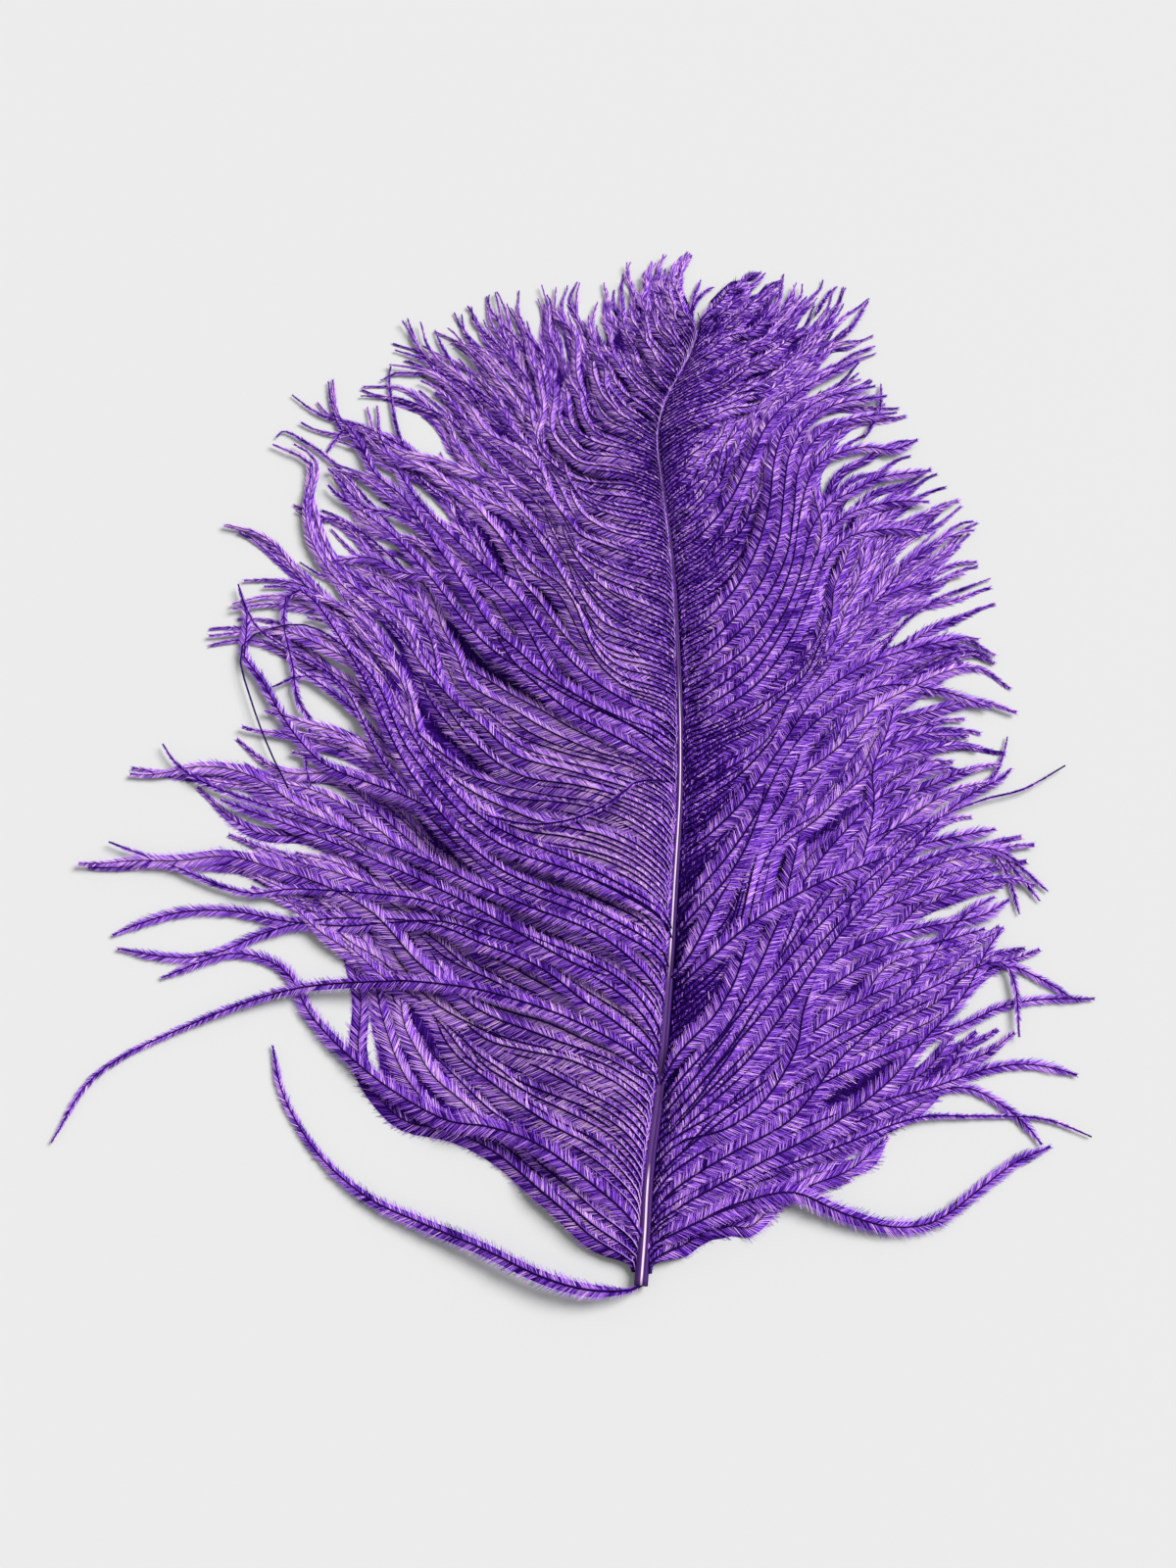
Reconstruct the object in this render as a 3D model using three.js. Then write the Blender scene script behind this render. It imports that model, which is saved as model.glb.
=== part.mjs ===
// An ostrich plume lying face up on a flat surface: a curved, tapering shaft, a soft vane of barbs down
// each side of it, and the loose barbs that lie clear of the vanes.
// Millimetres. +Y runs from the cut foot of the shaft to the tip, +X to the right, +Z up, and the surface
// is z = 0. The origin is the middle of the plume's footprint.
import * as THREE from "three";

// Driving dimensions
const SHAFT_FOOT_WIDTH = 3.4;
const SHAFT_TIP_WIDTH = 0.9;
const SHAFT_HEIGHT_TO_WIDTH = 0.85;
const VANE_ROOT_THICKNESS = 4.6; // beside the shaft, where the barbs lie deepest
const VANE_EDGE_THICKNESS = 1.3; // one layer of barbs
const VANE_TAPER_REACH = 95; // distance from the shaft over which the vane thins
const BARB_WIDTH = 2.4; // a loose barb with its barbules, across its root
const BARB_TIP_WIDTH = 1.0;
const BARB_HEIGHT_TO_WIDTH = 0.5;
const GAP = 0.3; // between a vane and the shaft
const REST = 0.05; // a loose barb's clearance over the surface

// How finely the curves are cut
const SHAFT_STEPS = 40;
const SHAFT_SIDES = 12;
const BARB_STEPS = 16;
const BARB_SIDES = 8;

// The middle line of the shaft, from its foot to its tip. It arches a little off the surface.
const SHAFT_ROUTE = [
  [14.5, -143, 2.0], [15.5, -131, 2.3], [16.6, -116, 2.6], [19.4, -95, 3.0], [21.9, -69, 3.3],
  [23.7, -45, 3.5], [25.6, -17, 3.5], [25.7, 11, 3.4], [24.6, 43, 3.2], [22.5, 65, 3.0],
  [20.9, 82, 2.8], [22.6, 93, 2.6], [25.6, 100, 2.4], [29.8, 108, 2.2], [32.9, 117, 2.0], [32.5, 122, 1.9],
];

// The outer edge of each vane, from the foot to the tip: each point that stands out is a lock of barbs.
const LEFT_EDGE = [
  [12, -139], [9, -136], [1, -132], [-7, -126], [-15, -119], [-23, -114], [-34, -110], [-43, -107],
  [-50, -101], [-53, -93], [-52, -83], [-55, -71], [-60, -68], [-72, -51], [-67, -45], [-82, -43],
  [-97, -42], [-110, -39], [-127, -38], [-110, -35], [-97, -32], [-88, -34], [-77, -39], [-70, -38],
  [-75, -31], [-89, -25], [-98, -17], [-108, -18], [-116, -16], [-103, -13], [-108, -5], [-99, -11],
  [-89, -12], [-76, -17], [-63, -26], [-58, -23], [-63, -18], [-80, -14], [-89, -8], [-97, 3],
  [-84, -5], [-87, 1], [-74, -3], [-57, -8], [-63, 11], [-75, 20], [-98, 25], [-78, 27],
  [-62, 21], [-70, 31], [-92, 36], [-77, 39], [-96, 59], [-80, 55], [-66, 38], [-71, 51],
  [-78, 60], [-73, 65], [-73, 78], [-83, 87], [-71, 88], [-80, 98], [-67, 92], [-69, 102],
  [-65, 91], [-58, 93], [-51, 84], [-42, 79], [-45, 88], [-61, 98], [-44, 96], [-41, 99],
  [-55, 103], [-42, 106], [-52, 112], [-40, 110], [-49, 122], [-38, 112], [-41, 119], [-29, 111],
  [-31, 127], [-24, 116], [-26, 130], [-21, 121], [-20, 130], [-14, 116], [-13, 128], [-10, 133],
  [-7, 126], [-5, 133], [-3, 126], [0, 134], [3, 129], [11, 136], [16, 142], [19, 139],
  [24, 143], [26, 138], [31, 143], [29, 133],
];
const RIGHT_EDGE = [
  [18, -139], [25, -136], [37, -130], [49, -125], [60, -126], [63, -120], [69, -116], [76, -107],
  [86, -100], [96, -94], [108, -80], [90, -91], [77, -97], [85, -91], [94, -79], [97, -72],
  [106, -63], [116, -57], [105, -53], [95, -49], [111, -50], [111, -43], [117, -44], [111, -37],
  [116, -31], [105, -27], [113, -21], [125, -11], [114, -17], [110, -13], [93, -19], [97, -13],
  [80, -12], [87, -4], [111, -3], [113, 2], [105, 7], [113, 11], [98, 15], [108, 18],
  [101, 22], [110, 32], [109, 38], [101, 40], [106, 46], [98, 47], [108, 55], [106, 57],
  [90, 61], [102, 66], [81, 69], [95, 74], [82, 76], [92, 84], [82, 87], [89, 92],
  [80, 98], [82, 100], [77, 103], [81, 113], [78, 119], [81, 128], [73, 126], [73, 133],
  [69, 135], [61, 134], [56, 137], [44, 135], [38, 129],
];

// The loose barbs, each from where it leaves its vane to its tip. The third number is a height over the
// surface, for the barbs that cross over another.
const LOOSE_BARBS = {
  left_foot_barb: [
    [11, -144], [2, -144], [-10, -140], [-24, -134], [-38, -128], [-51, -122], [-63, -111], [-72, -98],
    [-76, -85],
  ],
  left_hanging_barb: [[-55.5, -88.5], [-66, -78], [-72, -67], [-81, -62], [-90, -62], [-104, -67]],
  left_long_barb: [
    [-62.5, -69.5, 1.7], [-71, -70, 1.9], [-84, -74, 1], [-95, -79], [-118, -91], [-128, -109],
  ],
  left_crossing_barb: [[-74, -54.5, 0.8], [-79, -56, 1.5], [-91, -61, 1.8], [-102, -62, 0.6], [-116, -60]],
  left_arched_barb: [[-77, -50.5], [-87, -50], [-99, -50], [-109, -53], [-117, -55.5]],
  right_low_barb: [[64.5, -127.5], [75, -129], [85, -127], [96, -120], [105, -114], [114, -110]],
  right_straight_barb: [[87.5, -103.5], [95, -102], [109, -102], [116, -104], [124, -107]],
  right_bent_barb: [[97.5, -97.5, 0.8], [102, -99.5, 1.7], [108, -104, 1.7], [111, -107, 1.4]],
  right_short_barb: [[103, -89.6], [108, -89], [116, -90], [122, -92]],
  right_long_barb: [[98.5, -77.6], [104, -75], [114, -73], [127, -73]],
  right_drooping_barb: [[108, -66.5], [114, -67], [119, -69.2]],
};

const COLOURS = {
  shaft: 0x4b2a86,
  vane: 0x6f45b8,
  barb: 0x6a3fae,
};

const UP = new THREE.Vector3(0, 0, 1);
const shaftCurve = new THREE.CatmullRomCurve3(SHAFT_ROUTE.map((point) => new THREE.Vector3(...point)));

// Each piece is matt and has a material of its own.
function dyed(colour) {
  return new THREE.MeshStandardMaterial({ color: colour, roughness: 0.6, metalness: 0 });
}

function named(name, geometry, colour) {
  const piece = new THREE.Mesh(geometry, dyed(colour));
  piece.name = name;
  return piece;
}

// The level direction square to a curve, to the right of someone who walks along it.
function rightOf(curve, along) {
  return curve.getTangentAt(along).cross(UP).normalize();
}

// A closed rod of oval section: a spindle turned on the lathe, one unit long, then laid along the curve.
// width(along) is its full width there, with along from 0 to 1.
function rodAlong(curve, width, heightToWidth, steps, sides) {
  const profile = [new THREE.Vector2(0, 0)];
  for (let i = 0; i <= steps; i++) {
    profile.push(new THREE.Vector2(width(i / steps) / 2, i / steps));
  }
  profile.push(new THREE.Vector2(0, 1));
  const rod = new THREE.LatheGeometry(profile, sides);
  const vertices = rod.attributes.position;
  for (let i = 0; i < vertices.count; i++) {
    const along = vertices.getY(i);
    const right = rightOf(curve, along);
    const over = right.clone().cross(curve.getTangentAt(along));
    const laid = curve
      .getPointAt(along)
      .addScaledVector(right, vertices.getX(i))
      .addScaledVector(over, vertices.getZ(i) * heightToWidth);
    vertices.setXYZ(i, laid.x, laid.y, laid.z);
  }
  return rod;
}

function shaftWidth(along) {
  return THREE.MathUtils.lerp(SHAFT_FOOT_WIDTH, SHAFT_TIP_WIDTH, along);
}

// The edge of a vane that follows the shaft, from its tip to its foot. side is 1 on the right, -1 on the left.
function innerEdge(side) {
  const edge = [];
  for (let i = SHAFT_STEPS - 1; i >= 1; i--) {
    const along = i / SHAFT_STEPS;
    const reach = side * (shaftWidth(along) / 2 + GAP);
    const point = shaftCurve.getPointAt(along).addScaledVector(rightOf(shaftCurve, along), reach);
    edge.push(new THREE.Vector2(point.x, point.y));
  }
  return edge;
}

// The thickness of a vane over a point of the surface: it thins from the shaft to the edge.
function vaneThickness(x, y, shaftPoints) {
  const distance = Math.min(...shaftPoints.map((point) => Math.hypot(point.x - x, point.y - y)));
  const outward = Math.min(1, distance / VANE_TAPER_REACH);
  return THREE.MathUtils.lerp(VANE_ROOT_THICKNESS, VANE_EDGE_THICKNESS, Math.sqrt(outward));
}

// A vane is a flat-bottomed sheet with its own outline, thickest beside the shaft.
function vane(name, outerEdge, side) {
  const outline = outerEdge.map(([x, y]) => new THREE.Vector2(x, y)).concat(innerEdge(side));
  const sheet = new THREE.ExtrudeGeometry(new THREE.Shape(outline), { depth: 1, bevelEnabled: false });
  const shaftPoints = shaftCurve.getSpacedPoints(SHAFT_STEPS);
  const vertices = sheet.attributes.position;
  for (let i = 0; i < vertices.count; i++) {
    const thickness = vaneThickness(vertices.getX(i), vertices.getY(i), shaftPoints);
    vertices.setZ(i, vertices.getZ(i) * thickness);
  }
  return named(name, sheet, COLOURS.vane);
}

function looseBarb(name, route) {
  const halfHeight = (BARB_WIDTH * BARB_HEIGHT_TO_WIDTH) / 2;
  const points = route.map(([x, y, lift = 0]) => new THREE.Vector3(x, y, lift + halfHeight + REST));
  const curve = new THREE.CatmullRomCurve3(points);
  const width = (along) => THREE.MathUtils.lerp(BARB_WIDTH, BARB_TIP_WIDTH, along);
  return named(name, rodAlong(curve, width, BARB_HEIGHT_TO_WIDTH, BARB_STEPS, BARB_SIDES), COLOURS.barb);
}

const plume = new THREE.Group();
plume.add(
  named(
    "shaft",
    rodAlong(shaftCurve, shaftWidth, SHAFT_HEIGHT_TO_WIDTH, SHAFT_STEPS, SHAFT_SIDES),
    COLOURS.shaft,
  ),
  vane("left_vane", LEFT_EDGE, -1),
  vane("right_vane", RIGHT_EDGE, 1),
  ...Object.entries(LOOSE_BARBS).map(([name, route]) => looseBarb(name, route)),
);

// The origin goes to the middle of the footprint.
const footprint = new THREE.Box3().setFromObject(plume);
plume.position.set(
  -(footprint.min.x + footprint.max.x) / 2,
  -(footprint.min.y + footprint.max.y) / 2,
  0,
);

export default plume;
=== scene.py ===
import math

import bpy
import numpy as np
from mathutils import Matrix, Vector


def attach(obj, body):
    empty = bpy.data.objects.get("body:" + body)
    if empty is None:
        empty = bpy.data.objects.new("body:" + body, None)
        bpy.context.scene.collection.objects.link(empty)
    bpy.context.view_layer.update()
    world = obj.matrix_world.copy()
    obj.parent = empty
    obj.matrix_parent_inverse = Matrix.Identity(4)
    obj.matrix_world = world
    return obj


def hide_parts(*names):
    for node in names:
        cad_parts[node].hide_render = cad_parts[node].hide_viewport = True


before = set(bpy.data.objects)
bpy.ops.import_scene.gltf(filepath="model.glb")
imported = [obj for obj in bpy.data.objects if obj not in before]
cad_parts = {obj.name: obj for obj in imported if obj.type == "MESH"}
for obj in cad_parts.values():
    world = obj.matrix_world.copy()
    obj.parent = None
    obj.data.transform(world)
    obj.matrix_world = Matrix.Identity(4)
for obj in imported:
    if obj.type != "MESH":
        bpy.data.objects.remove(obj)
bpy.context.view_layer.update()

# An ostrich plume lying face up. Metres, in the frame of the CAD model, unless a name says otherwise.
# The plume is drawn as it grows: a shaft, barbs rooted down both sides of it, and two rows of barbules on
# each barb. Barbs run along routes that are given in pixels of the 1200 x 1600 photograph and laid at
# their own height over the table, so the plume has the photograph's outline from the camera's place.
# The stem of a barb is its ramus, a lock is a group of barbs that run together, and a web stands for the
# mass of a barb's finest barbules. A pair of numbers named ..._ALONG says where on a barb, from 0 at the
# shaft to 1 at its tip, a change begins and ends. A triple named ..._FADE is the share that is lost, where
# the loss begins and where it ends. One named ..._GROWTH is the share that is there at first, where the
# growth to the full size begins and where it ends. Tones go from 0, the darkest dye, to 1, the lightest.
# Tones also carry painted light and shade: lighter on lit ramus facets and the left crest, darker in the
# valley beside the shaft, on lower-lying and deepest barbs and on the webs.

MM = 0.001
PHOTO_WIDTH = 1200
PHOTO_HEIGHT = 1600

# ---- camera ----

CAMERA_ELEVATION = math.radians(70)
CAMERA_LENS = 50.0  # mm
CAMERA_SENSOR = 36.0  # mm, along the longer side of the picture
CAMERA_DISTANCE = 0.560
CAMERA_TARGET = np.array((0.0027, -0.0148, 0.0))
FOCAL_PIXELS = CAMERA_LENS / CAMERA_SENSOR * PHOTO_HEIGHT

camera_forward = np.array((0.0, math.cos(CAMERA_ELEVATION), -math.sin(CAMERA_ELEVATION)))
camera_up = np.array((0.0, math.sin(CAMERA_ELEVATION), math.cos(CAMERA_ELEVATION)))
camera_right = np.array((1.0, 0.0, 0.0))
camera_place = CAMERA_TARGET - camera_forward * CAMERA_DISTANCE


def over_table(pixels, heights):
    """The points at these heights that the camera sees at these pixels of the photograph."""
    across = (pixels[..., 0] - PHOTO_WIDTH / 2) / FOCAL_PIXELS
    down = (pixels[..., 1] - PHOTO_HEIGHT / 2) / FOCAL_PIXELS
    sight = camera_forward + across[..., None] * camera_right - down[..., None] * camera_up
    reach = (heights - camera_place[2]) / sight[..., 2]
    return camera_place + sight * reach[..., None]


def add_camera():
    data = bpy.data.cameras.new("camera")
    data.lens = CAMERA_LENS
    data.sensor_width = CAMERA_SENSOR
    camera = bpy.data.objects.new("camera", data)
    camera.location = camera_place
    camera.rotation_euler = (math.pi / 2 - CAMERA_ELEVATION, 0.0, 0.0)
    bpy.context.scene.collection.objects.link(camera)
    bpy.context.scene.camera = camera


# ---- the plume's routes ----

# The middle line of the shaft in pixels, from its foot to its tip
SHAFT_ROUTE = (
    (654, 1312), (658, 1260), (662, 1195), (673, 1108), (682, 1000), (688, 905), (694, 800), (693, 697),
    (687, 583), (678, 506), (671, 449), (677, 414), (688, 391), (703, 364), (714, 334), (712, 319),
)

# Each lock of barbs, from the foot of the vane to its tip: the row where its middle barb leaves the
# shaft, then the pixels that it passes on its way to the lock's tip
LEFT_LOCKS = (
    (1298, ((640, 1284), (600, 1259), (560, 1222), (495, 1172), (418, 1148), (392, 1115), (379, 1062),
        (364, 1005), (335, 945), (301, 908))),
    (1285, ((640, 1264), (600, 1235), (555, 1197), (498, 1152), (433, 1114), (404, 1072), (386, 1018),
        (366, 965), (340, 930), (310, 908))),
    (1270, ((640, 1243), (600, 1210), (550, 1172), (500, 1130), (447, 1085), (412, 1035), (375, 973),
        (341, 930), (318, 912))),
    (1235, ((645, 1203), (610, 1168), (560, 1140), (498, 1098), (455, 1048), (410, 990), (360, 930),
        (302, 905))),
    (1195, ((657, 1178), (635, 1152), (600, 1130), (550, 1108), (480, 1075), (415, 1005), (350, 945),
        (312, 912))),
    (1155, ((664, 1140), (650, 1122), (630, 1107), (613, 1098), (580, 1083), (540, 1068), (502, 1055),
        (460, 1030), (420, 997), (360, 942), (312, 912), (262, 892))),
    (1130, ((668, 1112), (655, 1100), (640, 1092), (620, 1080), (580, 1065), (540, 1051), (502, 1040),
        (470, 1025), (440, 1000), (380, 935), (310, 903), (240, 868), (165, 873), (80, 884))),
    (1110, ((669, 1095), (655, 1080), (640, 1068), (598, 1045), (550, 1022), (520, 1006), (490, 990),
        (450, 968), (410, 945), (350, 905), (290, 868), (235, 850))),
    (1092, ((667, 1078), (653, 1063), (637, 1050), (598, 1023), (560, 993), (530, 977), (490, 962),
        (450, 945), (430, 938), (385, 908), (320, 866), (270, 846), (203, 803))),
    (1060, ((672, 1043), (652, 1015), (620, 993), (580, 973), (540, 958), (500, 948), (455, 930),
        (430, 918), (385, 875), (310, 820), (240, 792), (165, 797), (132, 799))),
    (1045, ((674, 1028), (654, 1002), (620, 978), (580, 957), (540, 941), (500, 928), (465, 912),
        (430, 893), (390, 855), (330, 815), (262, 795), (214, 778))),
    (1030, ((675, 1013), (655, 988), (620, 962), (580, 940), (540, 923), (502, 908), (465, 890), (430, 868),
        (395, 835), (345, 797), (280, 783), (212, 730))),
    (1012, ((678, 997), (660, 975), (640, 958), (598, 932), (560, 912), (513, 888), (470, 862), (440, 845),
        (400, 812), (345, 775), (251, 739))),
    (965, ((681, 948), (668, 930), (650, 915), (600, 895), (560, 883), (513, 871), (480, 848), (447, 820),
        (430, 800), (405, 765), (390, 712), (345, 680), (280, 655), (212, 652))),
    (948, ((683, 932), (672, 918), (650, 900), (620, 885), (580, 872), (540, 862), (493, 837), (455, 803),
        (425, 760), (400, 700), (350, 630), (290, 610), (237, 613))),
    (880, ((686, 868), (677, 856), (660, 842), (640, 830), (612, 819), (580, 813), (540, 805), (500, 793),
        (460, 770), (420, 730), (370, 660), (310, 600), (268, 548), (230, 531))),
    (862, ((687, 850), (675, 835), (655, 822), (618, 808), (580, 800), (540, 794), (502, 775), (465, 742),
        (435, 700), (418, 635), (345, 565), (320, 510), (326, 462), (283, 440))),
    (845, ((688, 832), (680, 820), (665, 811), (635, 800), (600, 790), (560, 778), (520, 763), (480, 730),
        (445, 680), (405, 600), (345, 545), (298, 528))),
    (812, ((690, 806), (677, 795), (652, 777), (620, 765), (580, 748), (540, 730), (502, 705), (480, 692),
        (455, 650), (420, 600), (345, 572))),
    (806, ((690, 799), (678, 789), (657, 774), (625, 756), (589, 736), (555, 711), (515, 680), (475, 640),
        (430, 585), (375, 545), (318, 530))),
    (800, ((690, 792), (680, 783), (663, 772), (630, 747), (598, 723), (568, 703), (550, 690), (510, 650),
        (470, 605), (425, 555), (370, 535), (336, 490))),
    (768, ((691, 762), (685, 757), (672, 748), (655, 738), (620, 723), (600, 716), (580, 705), (555, 685),
        (525, 650), (478, 580), (430, 525), (380, 490), (338, 478))),
    (750, ((690, 740), (680, 728), (663, 720), (640, 712), (613, 700), (580, 677), (540, 655), (527, 645),
        (500, 610), (480, 560), (435, 505), (380, 455), (325, 425), (297, 402))),
    (730, ((690, 722), (678, 712), (660, 706), (640, 700), (627, 690), (613, 677), (600, 657), (580, 621),
        (560, 598), (540, 583), (505, 545), (445, 492), (390, 450), (347, 428), (336, 388))),
    (700, ((689, 692), (677, 687), (660, 681), (640, 677), (625, 671), (610, 655), (598, 632), (580, 600),
        (552, 572), (508, 520), (455, 478), (390, 446), (376, 418))),
    (684, ((689, 678), (680, 671), (660, 664), (640, 658), (615, 650), (602, 632), (590, 608), (570, 570),
        (540, 530), (515, 500), (470, 465), (438, 427), (367, 403))),
    (665, ((689, 658), (680, 650), (660, 642), (637, 630), (610, 608), (590, 587), (567, 553), (557, 523),
        (548, 495), (520, 470), (485, 445), (455, 405), (420, 380), (388, 387))),
    (633, ((687, 624), (677, 615), (660, 607), (640, 600), (607, 588), (590, 572), (575, 545), (560, 512),
        (540, 475), (498, 440), (463, 390), (430, 363), (400, 357))),
    (607, ((687, 599), (680, 591), (667, 587), (633, 578), (600, 563), (580, 552), (563, 525), (553, 495),
        (545, 462), (508, 425), (470, 378), (432, 350), (415, 324))),
    (585, ((685, 577), (677, 569), (660, 563), (640, 558), (600, 545), (585, 528), (572, 500), (560, 465),
        (545, 435), (515, 405), (478, 360), (444, 336))),
    (562, ((683, 555), (677, 548), (660, 542), (640, 538), (610, 528), (593, 518), (580, 500), (568, 470),
        (556, 430), (530, 385), (497, 345), (480, 311))),
    (533, ((682, 527), (673, 518), (660, 512), (640, 507), (600, 502), (580, 496), (563, 482), (553, 462),
        (548, 430), (540, 395), (515, 340), (499, 301))),
    (515, ((678, 512), (673, 505), (660, 498), (640, 491), (600, 486), (580, 481), (567, 472), (558, 455),
        (555, 425), (552, 390), (535, 345), (520, 300))),
    (497, ((674, 491), (667, 487), (657, 483), (640, 479), (600, 471), (583, 463), (570, 448), (565, 425),
        (566, 395), (560, 350), (545, 306))),
    (480, ((672, 474), (660, 467), (640, 461), (615, 454), (597, 443), (586, 425), (580, 390), (567, 335),
        (555, 290))),
    (465, ((671, 458), (657, 450), (643, 442), (620, 434), (603, 420), (594, 398), (588, 350), (576, 315),
        (574, 292))),
    (451, ((671, 446), (660, 438), (645, 428), (627, 415), (612, 394), (602, 350), (588, 308), (591, 288))),
    (437, ((674, 430), (664, 421), (648, 408), (632, 390), (618, 365), (608, 325), (610, 295))),
    (425, ((680, 415), (668, 403), (651, 385), (634, 357), (620, 322), (620, 288))),
    (414, ((684, 403), (673, 391), (655, 371), (640, 337), (631, 305), (633, 280))),
    (403, ((688, 391), (678, 379), (659, 353), (646, 320), (644, 290), (646, 268))),
    (392, ((692, 380), (682, 367), (664, 340), (652, 307), (655, 282), (661, 263))),
    (380, ((697, 368), (688, 354), (670, 326), (660, 298), (667, 268))),
    (368, ((701, 356), (692, 343), (676, 316), (668, 290), (678, 260))),
    (356, ((705, 345), (697, 333), (683, 306), (682, 286), (690, 268))),
    (345, ((708, 332), (701, 320), (690, 295), (694, 276), (704, 259))),
)
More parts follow.
